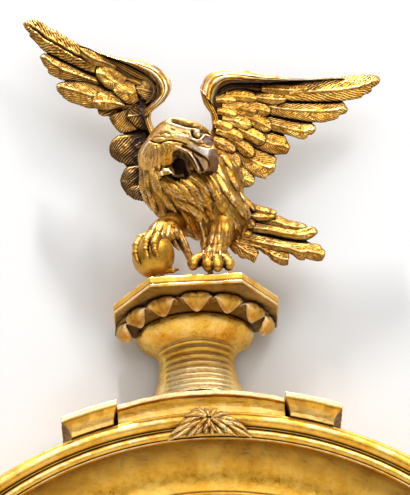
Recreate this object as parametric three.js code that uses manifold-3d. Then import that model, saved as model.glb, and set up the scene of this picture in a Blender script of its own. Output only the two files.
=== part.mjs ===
// Girandole mirror: circular giltwood frame with a convex plate, an eagle crest
// on a chamfered plinth, and a pair of swivelling candle arms.
// Millimetres, +Z up, the front faces -Y, the wall is the plane y = 0.
// "d" below is the distance in front of the wall, so y = -d.
import * as THREE from 'three';
import { mergeVertices } from 'three/addons/utils/BufferGeometryUtils.js';
import { ConvexGeometry } from 'three/addons/geometries/ConvexGeometry.js';
import Module from 'manifold-3d';

const wasm = await Module();
wasm.setup();
const { Manifold } = wasm;

// ---------------------------------------------------------------- dimensions
const GAP = 0.3;            // joint clearance between touching pieces
const RING_R = 380;         // outside radius of the moulded ring
const RING_BACK = 10;       // back plane of the ring
const RING_FRONT = 50;      // plane the beads of the ring spring from
const SIGHT_R = 306;        // inside radius of the ring
const LIP_R = 349.6;        // radius of the sharp lip above the hollow
const SLIP_IN = 268.5;      // sight radius of the ebonised slip
const PLATE_R = 277;        // radius of the convex plate
const PLATE_RISE = 29;      // rise of the plate at its centre
const PLATE_T = 3;          // plate thickness
const BOARD_R = 320;        // radius of the backboard
const BOARD_T = 9.7;
const CX = -1;              // centre line of the crest
const CREST_BACK = 10.3;    // back plane of the crest pieces
const PLAT_X = 84;          // half width of the middle of the platform
const BLOCK_X = 140;        // outside of the end blocks
const PLAT_FRONT = 50;
const BLOCK_FRONT = 62;
const PLINTH_TOP = 500.8;
const PLINTH_T = 11.1;
const PLINTH_W = 83.6;      // half width of the plinth
const PLINTH_FW = 46.4;     // half width of its front edge
const PLINTH_FRONT = 116;
const PLINTH_SIDE = 59.5;   // where the side edges end and the chamfers start
const BELL_R = 54;
const BELL_TOP = 485.2;
const ARM_X = 257;          // swivel axis of each candle arm
const ARM_D = 82;
const ARM_Z = -249;         // shelf on which the hub turns
const CUP_X = 290;          // centre of the candle cup
const CUP_D = 200;

// ---------------------------------------------------------------- materials
const mat = (color, roughness, metalness) => new THREE.MeshStandardMaterial({ color, roughness, metalness });
const GILT = mat(0xc08a34, 0.42, 0.75);
const GILT_WORN = mat(0xa9782e, 0.5, 0.6);
const EBONY = mat(0x1a1512, 0.35, 0.0);
const MIRROR = mat(0xd5dade, 0.04, 1.0);
const PINE = mat(0x9a7448, 0.8, 0.0);
const DOWEL = mat(0xb08d5c, 0.75, 0.0);
const IRON = mat(0x4b4642, 0.55, 0.8);
const BRASS = mat(0xb98f3e, 0.3, 0.95);

// ---------------------------------------------------------------- helpers
function solid(geometry) {
  let g = geometry.clone();
  for (const k of Object.keys(g.attributes)) if (k !== 'position') g.deleteAttribute(k);
  g = mergeVertices(g, 1e-4);
  const p = g.attributes.position.array;
  const src = g.index.array;
  const tri = [];
  for (let i = 0; i < src.length; i += 3) {
    const [a, b, c] = [src[i], src[i + 1], src[i + 2]];
    if (a !== b && b !== c && a !== c) tri.push(a, b, c);
  }
  let vol = 0;
  for (let i = 0; i < tri.length; i += 3) {
    const [a, b, c] = [3 * tri[i], 3 * tri[i + 1], 3 * tri[i + 2]];
    vol += p[a] * (p[b + 1] * p[c + 2] - p[b + 2] * p[c + 1])
      - p[a + 1] * (p[b] * p[c + 2] - p[b + 2] * p[c])
      + p[a + 2] * (p[b] * p[c + 1] - p[b + 1] * p[c]);
  }
  if (vol < 0) for (let i = 0; i < tri.length; i += 3) [tri[i + 1], tri[i + 2]] = [tri[i + 2], tri[i + 1]];
  return new Manifold(new wasm.Mesh({ numProp: 3, vertProperties: new Float32Array(p), triVerts: new Uint32Array(tri) }));
}
function geo(m) {
  const r = m.getMesh();
  const g = new THREE.BufferGeometry();
  g.setAttribute('position', new THREE.BufferAttribute(new Float32Array(r.vertProperties), 3));
  g.setIndex(new THREE.BufferAttribute(new Uint32Array(r.triVerts), 1));
  g.computeVertexNormals();
  return g;
}
const unite = (list) => list.reduce((a, b) => a.add(b));
const cut = (m, list) => list.reduce((a, b) => a.subtract(b), m);
const largest = (m) => m.decompose().sort((a, b) => b.volume() - a.volume())[0];

const group = new THREE.Group();
function add(name, shape, material, parent = group) {
  const mesh = new THREE.Mesh(geo(shape.isBufferGeometry ? solid(shape) : shape), material);
  mesh.name = name;
  parent.add(mesh);
  return mesh;
}
// solid of revolution about the Y axis, profile in (radius, d)
function turned(profile, segments) {
  const pts = profile.map(([r, d]) => new THREE.Vector2(r, -d));
  if (profile[0][0] > 1e-6) pts.push(pts[0].clone());
  return new THREE.LatheGeometry(pts, segments);
}
// solid of revolution about a vertical axis, profile in (radius, z)
function turnedZ(profile, segments) {
  const pts = profile.map(([r, z]) => new THREE.Vector2(r, z));
  if (profile[0][0] > 1e-6) pts.push(pts[0].clone());
  return new THREE.LatheGeometry(pts, segments).rotateX(Math.PI / 2);
}
// outline in (x, z), from d0 to d1 in front of the wall
function slab(outline, d0, d1) {
  const s = new THREE.Shape(outline.map(([x, z]) => new THREE.Vector2(x, z)));
  return new THREE.ExtrudeGeometry(s, { depth: d1 - d0, bevelEnabled: false }).rotateX(Math.PI / 2).translate(0, -d0, 0);
}
function box(x0, x1, z0, z1, d0, d1) {
  return new THREE.BoxGeometry(x1 - x0, d1 - d0, z1 - z0).translate((x0 + x1) / 2, -(d0 + d1) / 2, (z0 + z1) / 2);
}
function rodY(r, x, z, d0, d1, n = 8) {
  return new THREE.CylinderGeometry(r, r, d1 - d0, n).translate(x, -(d0 + d1) / 2, z);
}
function rodZ(r, x, d, z0, z1, n = 10) {
  return new THREE.CylinderGeometry(r, r, z1 - z0, n).rotateX(Math.PI / 2).translate(x, -d, (z0 + z1) / 2);
}
function arc(cr, cd, r, a0, a1, n) {
  const out = [];
  for (let i = 0; i <= n; i++) {
    const a = THREE.MathUtils.degToRad(a0 + (a1 - a0) * i / n);
    out.push([cr + r * Math.cos(a), cd + r * Math.sin(a)]);
  }
  return out;
}
// rounded body through balls [x, z, d, radius], grown by g
function hull(balls, g = 0) {
  const pts = [];
  for (const [x, z, d, r] of balls) {
    const s = new THREE.IcosahedronGeometry(r + g, r < 6.6 ? 0 : 1).attributes.position;
    for (let i = 0; i < s.count; i++) pts.push(new THREE.Vector3(s.getX(i) + x, s.getY(i) - d, s.getZ(i) + z));
  }
  const seen = new Set();
  const unique = pts.filter((p) => {
    const k = `${p.x.toFixed(3)},${p.y.toFixed(3)},${p.z.toFixed(3)}`;
    if (seen.has(k)) return false;
    seen.add(k);
    return true;
  });
  return solid(new ConvexGeometry(unique));
}
const chain = (balls, g = 0) => unite(balls.slice(1).map((b, i) => hull([balls[i], b], g)));

// wood screws driven from behind, head at dHead, pointing to the front
function screwProfile(head, shank, length, g = 0) {
  return [[0, -g], [head + g, -g], [shank + g, 0.6 + (head - shank)],
    [shank + g, length - 3], [0, length + g]];
}
const screwHoles = [];
function screw(name, x, z, dHead, head, shank, length) {
  const g = turned(screwProfile(head, shank, length), 6);
  const mesh = add(name, g, IRON);
  mesh.position.set(x, -dHead, z);
  const hole = solid(turned(screwProfile(head, shank, length, GAP + 0.3), 6)).translate([x, -dHead, z]);
  screwHoles.push(hole);
  return hole;
}

// ---------------------------------------------------------------- moulded ring
const cavetto = [];
for (let i = 1; i <= 7; i++) {
  const a = (Math.PI / 2) * i / 7;
  cavetto.push([SIGHT_R + 0.2 + (LIP_R - SIGHT_R - 0.2) * Math.cos(a), 53 - 33 * Math.sin(a)]);
}
const ringProfile = [
  [SIGHT_R, RING_BACK], [RING_R - 2, RING_BACK], [RING_R, 32], [RING_R, RING_FRONT], [377.2, 50.6],
  ...arc(370.3, 50.6, 6.9, 15, 165, 5), [363.4, 53], [361.2, 53], [361, 50],
  ...arc(356.3, 50, 4.7, 15, 165, 3), [351.5, 50.4], [351.4, 52.6], [LIP_R, 53],
  ...cavetto,
];
const boardScrews = [];
for (let i = 0; i < 6; i++) {
  const a = THREE.MathUtils.degToRad(30 + 60 * i);
  boardScrews.push(screw(`board_screw_${i + 1}`, 313 * Math.cos(a), 313 * Math.sin(a), 0.5, 3.6, 1.9, 20));
}
const hangerHoles = [];
for (const [side, s] of [['left', -1], ['right', 1]]) {
  hangerHoles.push(screw(`hanger_screw_${side}_lower`, s * 226, 272, 8.2, 2.6, 1.5, 14));
  hangerHoles.push(screw(`hanger_screw_${side}_upper`, s * 226, 285, 8.2, 2.6, 1.5, 14));
}
const battenHoles = [
  screw('batten_screw_1', -14, 338, 2.5, 3.4, 1.9, 26),
  screw('batten_screw_2', 14, 366, 2.5, 3.4, 1.9, 26),
  screw('batten_screw_3', 0, 393, 2.5, 3.4, 1.9, 18),
  screw('batten_screw_4', CX, 440, 2.5, 3.4, 1.9, 26),
  screw('batten_screw_5', CX, 495, 2.5, 3.0, 1.6, 26),
];
add('frame_ring', cut(solid(turned(ringProfile, 48)), [...boardScrews, ...hangerHoles, battenHoles[0], battenHoles[1]]), GILT);

// gilt sight fillet, ebonised reeded slip, convex plate and what keeps it
add('sight_fillet', turned([[299.2, 10.3], [305.1, 10.3], [305.1, 22.4], ...arc(302.2, 22.4, 2.9, 30, 150, 2), [299.2, 22.4]], 48), GILT);
const reeds = [];
for (const c of [294.6, 289.4, 284.2]) reeds.push([c + 2.4, 23.4], [c, 26.6], [c - 2.4, 23.4]);
add('mirror_slip', turned([[282.6, 10.3], [298.2, 10.3], [298.2, 22.6], ...reeds,
  [279, 24], [271.5, 22.6], [SLIP_IN, 20.8], [SLIP_IN, 17.8], [277.6, 15.8], [282.6, 15.8]], 44), EBONY);
const cap = (r0, n, base) => {
  const R = (r0 * r0 + PLATE_RISE * PLATE_RISE) / (2 * PLATE_RISE);
  const out = [];
  for (let i = 0; i <= n; i++) {
    const r = r0 * i / n;
    out.push([r, base + Math.sqrt(R * R - r * r) - (R - PLATE_RISE)]);
  }
  return out;
};
const plateBack = cap(PLATE_R, 5, 12.2);
const plateFront = cap(PLATE_R, 5, 12.2 + PLATE_T).reverse();
add('mirror_plate', solid(turned([...plateBack, ...plateFront], 48)), MIRROR);
for (let i = 0; i < 4; i++) {
  const g = new THREE.BoxGeometry(3.4, 4.8, 20);
  const m = add(`plate_block_${i + 1}`, g, PINE);
  const a = THREE.MathUtils.degToRad(45 + 90 * i);
  m.position.set(279.5 * Math.cos(a), -12.9, 279.5 * Math.sin(a));
  m.rotation.y = -a;
}
add('backboard', cut(solid(turned([[0, 0], [BOARD_R, 0], [BOARD_R, BOARD_T], [0, BOARD_T]], 56)), boardScrews), PINE);

// ---------------------------------------------------------------- hangers
for (const [side, s] of [['left', -1], ['right', 1]]) {
  const x = s * 226;
  const eye = solid(new THREE.CylinderGeometry(4.2, 4.2, 11, 14).rotateZ(Math.PI / 2).translate(x, -5.2, 262));
  const strap = solid(box(x - 7, x + 7, 262.5, 292, 8.1, 9.7));
  const neck = solid(box(x - 5.5, x + 5.5, 260, 266, 7, 9.7));
  const bore = solid(new THREE.CylinderGeometry(2.35, 2.35, 16, 14).rotateZ(Math.PI / 2).translate(x, -5.2, 262));
  add(`hanger_plate_${side}`, cut(unite([eye, strap, neck]), [bore, ...hangerHoles]), IRON);
  const loop = new THREE.CatmullRomCurve3([[-7.5, 0], [-3, 0], [3, 0], [7.5, 0], [11.5, -2.5], [12, -7], [8.5, -12.5], [0, -15.5], [-8.5, -12.5], [-12, -7], [-11.5, -2.5]]
    .map(([a, b]) => new THREE.Vector3(a, 0, b)), true, 'catmullrom', 0.4);
  const m = add(`hanger_loop_${side}`, solid(new THREE.TubeGeometry(loop, 26, 1.7, 6, true)), IRON);
  m.position.set(x, -5.2, 262);
}

// ---------------------------------------------------------------- platform
function arcPoint(r, x, zc = 0) { return [x, zc + Math.sqrt(r * r - x * x)]; }
function band(r0, c0, r1, c1, x0, x1, n) {
  const out = [];
  for (let i = 0; i <= n; i++) out.push(arcPoint(r0, x0 + (x1 - x0) * i / n, c0));
  for (let i = n; i >= 0; i--) out.push(arcPoint(r1, x0 + (x1 - x0) * i / n, c1));
  return out;
}
const RI = RING_R + GAP + 0.3;
// hollow under the top edge of the platform, as [share of height, share of inset]
const hollow = [[0, 1], [0.3, 0.86], [0.6, 0.55], [0.84, 0.2]];
const dowelNeck = solid(rodZ(5 + GAP, CX, 28, 386.5, 432.5));
const platParts = [solid(slab(band(RI, 0, 272, 133, -PLAT_X + GAP, PLAT_X - GAP, 14), CREST_BACK, 43))];
for (let i = 1; i < hollow.length; i++) {
  const r0 = 383 + 16 * (i / hollow.length);
  platParts.push(solid(slab(band(r0 - 0.0, 0, 272, 133, -PLAT_X + GAP, PLAT_X - GAP, 14), 42.9, 50 - 7 * hollow[i][1])));
}
platParts.push(solid(slab(band(399, 0, 272, 133, -PLAT_X + GAP, PLAT_X - GAP, 14), 42.9, PLAT_FRONT)));
add('platform_middle', cut(unite(platParts), [battenHoles[2], dowelNeck]), GILT);
for (const [side, s] of [['left', -1], ['right', 1]]) {
  const parts = [];
  const IN = 9.5;
  for (let i = 0; i < hollow.length; i++) {
    const r0 = i === 0 ? RI : 381 + 15.5 * hollow[i][0];
    const inset = IN * hollow[i][1];
    const xa = PLAT_X + inset, xb = BLOCK_X - inset;
    const [x0, x1] = s > 0 ? [xa, xb] : [-xb, -xa];
    parts.push(solid(slab(band(r0, 0, 402, 0, x0, x1, 5), CREST_BACK, BLOCK_FRONT - inset)));
  }
  const [x0, x1] = s > 0 ? [PLAT_X, BLOCK_X] : [-BLOCK_X, -PLAT_X];
  parts.push(solid(slab(band(396.3, 0, 402, 0, x0, x1, 5), CREST_BACK, BLOCK_FRONT)));
  add(`platform_block_${side}`, unite(parts), GILT);
}
add('crest_batten', cut(solid(box(-24, 24, 324, 498, 2, 9.7)), battenHoles), PINE);

// ---------------------------------------------------------------- neck, leaves, plinth
const half = (m, back) => m.trimByPlane([0, -1, 0], back);   // keep what is in front of d = back
const neckProfile = [[0, 404.9], [49, 404.9], [47.5, 409], [46, 416], [42, 428], [39.5, 440], [38.6, 450], [39, 458], [41, 463], [0, 463]];
const bellProfile = [[0, 458], [36, 458], [39, 464], [44, 469], [49.5, 473.5], [53, 478], [BELL_R, 482], [BELL_R - 1, BELL_TOP], [0, BELL_TOP]];
const dowelPlinth = solid(rodZ(5 + GAP, CX, 40, 455.5, 496.3));
const neckCore = half(solid(turnedZ(neckProfile, 36)).scale([1, 0.8, 1]).translate([0, -12, 0]), CREST_BACK);
const bellCore = half(solid(turnedZ(bellProfile, 36)).translate([0, -12, 0]), CREST_BACK);
const platTop = solid(slab(band(370, 0, 272 + GAP, 133, -PLAT_X, PLAT_X, 14), 5, 70));
add('neck', cut(unite([neckCore, bellCore]).translate([CX, 0, 0]), [platTop, battenHoles[3], dowelNeck, dowelPlinth]), GILT);
const leafProfile = [[57.5, 484], [57.5, 489.3], [86.5, 489.3], [87, 487.6], [82, 481.5], [75, 475.5], [70.5, 474], [66, 477], [61, 481.5]];
add('leaf_ring', half(solid(turnedZ(leafProfile, 32)).translate([CX, -12, 0]), CREST_BACK), GILT);
const plinthOutline = [[-PLINTH_W, -CREST_BACK], [PLINTH_W, -CREST_BACK], [PLINTH_W, -PLINTH_SIDE], [PLINTH_FW, -PLINTH_FRONT], [-PLINTH_FW, -PLINTH_FRONT], [-PLINTH_W, -PLINTH_SIDE]];
function plate(outline, k, z0, z1) {
  const s = new THREE.Shape(outline.map(([x, y]) => new THREE.Vector2(x * (1 - k / PLINTH_W), -CREST_BACK + (y + CREST_BACK) * (1 - k / 105))));
  return solid(new THREE.ExtrudeGeometry(s, { depth: z1 - z0, bevelEnabled: false }).translate(CX + 1.5, 0, z0));
}
const footHole = solid(rodZ(3 + GAP, 16, 97, 491.2, 540.5, 8));
const ballHole = solid(rodZ(3 + GAP, -36.8, 101, 491.2, 556.5, 8));
const plinthBottom = PLINTH_TOP - PLINTH_T;
add('plinth', cut(unite([plate(plinthOutline, 0, plinthBottom + 3.6, PLINTH_TOP), plate(plinthOutline, 1.6, plinthBottom + 2.6, plinthBottom + 3.7),
  plate(plinthOutline, 0, plinthBottom, plinthBottom + 2.7)]), [battenHoles[4], dowelPlinth, footHole, ballHole]), GILT);
add('neck_dowel', rodZ(5, CX, 28, 387, 432), DOWEL);
add('plinth_dowel', rodZ(5, CX, 40, 456, 496), DOWEL);

// ---------------------------------------------------------------- eagle
const torso = (g) => unite([
  hull([[6, 622, 76, 30], [15, 596, 72, 24], [-14, 655, 66, 21], [40, 656, 62, 22], [44, 616, 58, 18]], g),
  hull([[-26, 666, 74, 17], [-20, 642, 74, 20], [6, 622, 76, 26]], g),
  hull([[-26, 666, 74, 16], [-20, 678, 84, 12], [-1, 672, 88, 17], [10, 665, 92, 13]], g),
  chain([[8, 662, 92, 12], [19, 655, 97, 8.5], [23, 641, 99, 7], [17, 629, 99, 3.5]], g),
  hull([[-20, 640, 88, 9], [-8, 625, 94, 6], [-20, 632, 90, 8], [-22, 650, 80, 10]], g),
]);
const torsoClear = torso(GAP);
add('eagle_body', torso(0), GILT);
const leftWing = [[-165.5, 844.2], [-160, 847.5], [-150.5, 848.4], [-139, 840], [-118, 823.5], [-91, 806.4], [-74.6, 799.9], [-53.7, 793.8],
  [-34.9, 787.9], [-21.6, 779.1], [-12.6, 767.5], [-11.4, 760], [-15.7, 746.8], [-24.7, 735], [-33.5, 725.8], [-34, 713.7], [-28.3, 702.5],
  [-19.5, 669.6], [-19, 634], [-30.8, 605], [-36, 603], [-41.6, 617.3], [-50.7, 622.5], [-60.8, 627.8], [-68.6, 639], [-70, 651], [-65.1, 661.3],
  [-71.4, 672.4], [-79.9, 681.2], [-78.3, 693.2], [-67, 702.8], [-76, 716], [-88, 728.8], [-100, 736.2], [-120, 745], [-127, 751.6], [-133, 765.4],
  [-126.3, 771.9], [-138.8, 779.3], [-147.7, 798.3], [-143.2, 808], [-159.5, 828.8]];
const rightWing = [[28, 710.4], [27.3, 725], [19.8, 742.5], [18.7, 754.8], [24.4, 768], [34.2, 774.2], [51.2, 775.2], [72.2, 772.8], [87.7, 767.6],
  [113.8, 762.5], [140, 759.3], [163.3, 760.5], [190, 762.7], [206.7, 760.6], [208.9, 754.3], [198, 744.4], [194.4, 738], [180.2, 732], [169.6, 731.3],
  [172.5, 720.8], [168.4, 715], [161.2, 710.4], [146.8, 707], [136.3, 706.3], [136.8, 698.4], [132, 691.4], [124.4, 686.4], [109.2, 692.7], [105.5, 692.9],
  [108.7, 678.2], [104.5, 670], [94, 669.4], [92, 654], [81, 642.6], [69.6, 644.4], [67, 635], [55.3, 631], [38, 633.4], [18.3, 656], [20.2, 691.4]];
const tailShape = [[37.8, 631.4], [55.4, 629.6], [66.8, 614.8], [88.8, 603.6], [99.6, 594.8], [118.8, 588], [127.8, 584], [130.4, 577.3], [120.6, 570.2],
  [121.3, 565], [131.5, 563.8], [136.5, 554.8], [132.2, 544.6], [115, 546], [103, 552.6], [98.2, 541.8], [89, 542.3], [77.4, 553.4], [67.2, 562],
  [62.5, 545.5], [47.7, 553.8], [38, 566], [31.7, 580], [30, 600]];
const rollLeft = [[-148, 836, 52, 7], [-118, 815, 53, 8], [-75, 790, 55, 9], [-34, 775, 57, 10], [-22, 760, 58, 10], [-30, 738, 57, 8]];
const rollRight = [[190, 754, 52, 7], [150, 752, 53, 8], [90, 757, 55, 9], [50, 764, 57, 10], [31, 758, 58, 10], [29, 742, 57, 8]];
const clearWings = [torsoClear];
add('wing_left', largest(cut(unite([solid(slab(leftWing, 44, 58)), chain(rollLeft)]), clearWings)), GILT);
const rightSolid = unite([solid(slab(rightWing, 44, 58)), chain(rollRight)]);
add('wing_right', largest(cut(rightSolid, clearWings)), GILT);
add('eagle_tail', largest(cut(solid(slab(tailShape, 40, 54)), [torsoClear, solid(slab(rightWing.slice(31).concat(rightWing.slice(0, 2)), 43.7, 58.3))])), GILT);

const ball = (g) => solid(new THREE.SphereGeometry(1, 14, 8)).scale([19 + g, 19 + g, 23.4 + g]).translate([-36.8, -101, 524.7]);
add('ball', cut(ball(0), [ballHole]), GILT);
const legRight = (g) => unite([
  chain([[22, 577, 76, 13], [16, 548, 90, 8], [16, 528, 97, 7.5], [3, 515.5, 106, 6.3], [0, 509.5, 111, 4]], g),
  chain([[16, 528, 97, 7.5], [15, 516, 107, 6.3], [14.5, 510, 111.5, 4.2]], g),
  chain([[16, 528, 97, 7.5], [24.5, 515.5, 107, 6.3], [25, 510, 111, 4.2]], g),
  chain([[16, 528, 97, 7.5], [33, 515.5, 103, 6], [35, 509, 107, 4]], g),
]);
const plinthClear = solid(box(-90, 90, 480, PLINTH_TOP + GAP, 5, 120));
add('leg_right', largest(cut(legRight(0), [torsoClear, plinthClear, footHole])), GILT);
const legLeft = unite([
  chain([[-20, 584, 78, 13], [-28, 566, 90, 10], [-31, 556, 99, 10]]),
  chain([[-31, 556, 99, 10], [-38, 552, 112, 5.5], [-38.5, 536, 120, 4], [-38, 527, 121, 3]]),
  chain([[-31, 556, 99, 10], [-48, 547, 107, 5.5], [-52, 530, 112, 4.2], [-50, 520, 113, 3]]),
  chain([[-31, 556, 99, 10], [-53, 545, 98, 5.5], [-58, 530, 99, 4.2], [-54, 516, 101, 3]]),
  chain([[-28, 566, 90, 10], [-16, 559, 84, 5.5], [-4, 535, 86, 4.2], [-3, 527, 88, 3]]),
]);
add('leg_left', largest(cut(legLeft, [torsoClear, ball(GAP), plinthClear, legRight(GAP), ballHole])), GILT);
add('foot_dowel', rodZ(3, 16, 97, 491.5, 540, 8), DOWEL);
add('ball_dowel', rodZ(3, -36.8, 101, 491.5, 556, 8), DOWEL);

// ---------------------------------------------------------------- leaf clasp on the ring
const claspOutline = [[-33, 347], [-27, 358], [-20, 367], [-9, 376], [4, 380.5], [16, 378], [26, 371], [36, 363], [46, 353], [48, 346.5], [38, 350],
  [28, 354], [20, 352], [12, 347], [4, 350], [-6, 349], [-16, 352], [-24, 350]];
add('leaf_clasp', unite([solid(slab(claspOutline, 58, 62)), hull([[-18, 358, 60.6, 2.4], [3, 368, 61, 2.8]]), hull([[34, 358, 60.6, 2.4], [8, 369, 61, 2.8]])]), GILT_WORN);

// ---------------------------------------------------------------- candle arms
for (const [side, s] of [['left', -1], ['right', 1]]) {
  const x = s * ARM_X;
  const pinHole = solid(rodZ(3 + GAP, x, ARM_D, ARM_Z - 15.5, ARM_Z + 1, 12));
  const disc = solid(turned([[0, 58], [22, 58], [23, 61], [21, 66], [14, 69], [0, 70]], 18)).translate([x, 0, -ARM_X]);
  const shelf = unite([
    solid(turnedZ([[0, ARM_Z - 22], [3, ARM_Z - 20], [7, ARM_Z - 13], [8.5, ARM_Z - 6], [8.5, ARM_Z], [0, ARM_Z]], 16)).translate([x, -ARM_D, 0]),
    hull([[x, -257, 68, 8], [x, -257, 79, 5]]),
  ]);
  add(`arm_bracket_${side}`, cut(unite([disc, shelf]), [pinHole, solid(box(x - 12, x + 12, ARM_Z, ARM_Z + 12, 70.5, 100))]), GILT);
  add(`arm_pin_${side}`, solid(turnedZ([[0, ARM_Z - 15], [3, ARM_Z - 15], [3, ARM_Z + 19.2], [5.2, ARM_Z + 19.2], [6, ARM_Z + 21.5], [4, ARM_Z + 24.5], [2, ARM_Z + 26], [0, ARM_Z + 26.5]], 14)).translate([x, -ARM_D, 0]), BRASS);
  // the arm with its hub is drawn about the swivel axis
  const arm = new THREE.Group();
  arm.position.set(x, -ARM_D, ARM_Z);
  group.add(arm);
  const dx = s * (CUP_X - ARM_X), dy = -(CUP_D - ARM_D);
  const hub = cut(solid(turnedZ([[0, 0.5], [7.6, 0.5], [8.4, 3], [7.4, 9.6], [8.4, 16], [7.6, 18.8], [0, 18.8]], 18)), [solid(turnedZ([[0, -2], [3.35, -2], [3.35, 22], [0, 22]], 14))]);
  const u = (t, z) => new THREE.Vector3(dx * t, dy * t, z);
  const path = new THREE.CatmullRomCurve3([u(0.052, 9.6), u(0.2, 4), u(0.38, -14), u(0.58, -26), u(0.8, -22), u(0.95, -2), u(1, 20), u(1, 38)], false, 'centripetal');
  const ring8 = new THREE.Shape();
  ring8.absarc(0, 0, 4, 0, Math.PI * 2, false);
  const tube = new THREE.ExtrudeGeometry(ring8, { steps: 15, curveSegments: 4, bevelEnabled: false, extrudePath: path });
  const bulb = (t, z, r) => solid(new THREE.SphereGeometry(r, 8, 5)).translate([dx * t, dy * t, z]);
  const bore = solid(turnedZ([[0, -2], [3.35, -2], [3.35, 22], [0, 22]], 14));
  const seat = solid(turnedZ([[0, 30], [4.5, 30], [9, 38], [9, 40], [0, 40]], 16)).translate([dx, dy, 0]);
  add(`candle_arm_${side}`, cut(unite([hub, solid(tube), bulb(0.38, -14, 6), bulb(0.95, -2, 6), seat]), [bore]), BRASS, arm);
  const pan = turnedZ([[0, 40.3], [12, 40.3], [26, 43.2], [37, 50], [36.4, 51.6], [25, 45.6], [12, 43], [0, 43]], 24);
  add(`drip_pan_${side}`, solid(pan), BRASS, arm).position.set(dx, dy, 0);
  const cup = turnedZ([[0, 43.3], [10, 43.3], [7, 49], [7, 53], [13.4, 63], [15, 73], [14.2, 82], [17, 87], [17, 88.6],
    [11.2, 88.6], [11.2, 60], [0, 60]], 18);
  add(`candle_cup_${side}`, solid(cup), BRASS, arm).position.set(dx, dy, 0);
}

export default group;
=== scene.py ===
"""Girandole mirror: round giltwood frame, convex plate, eagle crest and two candle arms."""
import math

import bpy
import bmesh
import numpy as np
from mathutils import Matrix, Vector


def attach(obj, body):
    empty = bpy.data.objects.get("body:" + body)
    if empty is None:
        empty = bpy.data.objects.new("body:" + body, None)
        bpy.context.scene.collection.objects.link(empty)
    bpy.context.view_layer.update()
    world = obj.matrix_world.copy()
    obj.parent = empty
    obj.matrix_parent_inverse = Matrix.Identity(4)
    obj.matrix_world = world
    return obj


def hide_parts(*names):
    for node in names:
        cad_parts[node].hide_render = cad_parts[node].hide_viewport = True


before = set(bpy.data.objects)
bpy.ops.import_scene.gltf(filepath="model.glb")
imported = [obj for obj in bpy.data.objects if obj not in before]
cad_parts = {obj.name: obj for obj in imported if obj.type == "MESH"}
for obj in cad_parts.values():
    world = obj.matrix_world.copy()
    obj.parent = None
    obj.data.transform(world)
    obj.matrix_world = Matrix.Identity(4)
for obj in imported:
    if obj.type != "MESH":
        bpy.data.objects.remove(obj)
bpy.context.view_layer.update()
TAU = 2 * math.pi

# ------------------------------------------------------------------ camera
CAM_C = np.array((-67.4, -2908.4, -954.8))
_e, _y, _r = math.radians(28.0), math.radians(1.62), math.radians(3.5)
CAM_PX = 3160.0
CAM_F = np.array((math.sin(_y) * math.cos(_e), math.cos(_y) * math.cos(_e), math.sin(_e)))
_right = np.array((math.cos(_y), -math.sin(_y), 0.0))
_up = np.cross(_right, CAM_F)
CAM_R = math.cos(_r) * _right - math.sin(_r) * _up
CAM_U = math.sin(_r) * _right + math.cos(_r) * _up


def W(px, py, d):
    """World points, in mm, at distance d in front of the wall on the sight lines through (px, py)."""
    px, py, d = np.broadcast_arrays(np.asarray(px, float), np.asarray(py, float), np.asarray(d, float))
    r = CAM_F + ((px - 205) / CAM_PX)[..., None] * CAM_R + ((247.5 - py) / CAM_PX)[..., None] * CAM_U
    t = (-d - CAM_C[1]) / r[..., 1]
    return CAM_C + t[..., None] * r


def to_px(P):
    q = np.asarray(P, float) - CAM_C
    w = q @ CAM_F
    return np.stack([205 + CAM_PX * (q @ CAM_R) / w, 247.5 - CAM_PX * (q @ CAM_U) / w], -1)


# ------------------------------------------------------------------ small numeric tools
def smooth(a, b, x):
    t = np.clip((np.asarray(x, float) - a) / (b - a), 0, 1)
    return t * t * (3 - 2 * t)


def hash01(*k):
    v = 0.0
    for i, a in enumerate(k):
        v = v + np.asarray(a, float) * (12.9898 + 65.233 * i)
    s = np.sin(v) * 43758.5453
    return s - np.floor(s)


def noise1(x, seed=0.0):
    i = np.floor(x)
    u = x - i
    u = u * u * (3 - 2 * u)
    return hash01(i, seed) * (1 - u) + hash01(i + 1, seed) * u


def noise3(P, scale, seed=0.0):
    """Value noise, 0 to 1, on points in mm."""
    q = np.asarray(P, float) * scale
    i = np.floor(q)
    u = q - i
    u = u * u * (3 - 2 * u)
    out = 0.0
    for a in (0, 1):
        for b in (0, 1):
            for c in (0, 1):
                w = (u[..., 0] if a else 1 - u[..., 0]) * (u[..., 1] if b else 1 - u[..., 1]) * (u[..., 2] if c else 1 - u[..., 2])
                out = out + w * hash01(i[..., 0] + a, i[..., 1] + b, i[..., 2] + c, seed)
    return out


def even(P, n):
    """n points at even spacing along the polyline P."""
    P = np.asarray(P, float)
    s = np.r_[0, np.cumsum(np.linalg.norm(np.diff(P[:, :2], axis=0), axis=1))]
    t = np.linspace(0, s[-1], n)
    return np.stack([np.interp(t, s, P[:, k]) for k in range(P.shape[1])], 1)


def crom(P, n):
    """n points at even spacing on the Catmull-Rom curve through P."""
    P = np.asarray(P, float)
    if len(P) == 2:
        return even(P, n)
    Q = np.vstack([2 * P[0] - P[1], P, 2 * P[-1] - P[-2]])
    out = []
    for i in range(len(P) - 1):
        p0, p1, p2, p3 = Q[i:i + 4]
        t = np.linspace(0, 1, 13)[:-1, None]
        out.append(0.5 * (2 * p1 + (p2 - p0) * t + (2 * p0 - 5 * p1 + 4 * p2 - p3) * t ** 2 + (3 * p1 - p0 - 3 * p2 + p3) * t ** 3))
    out.append(P[-1:])
    return even(np.vstack(out), n)


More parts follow.
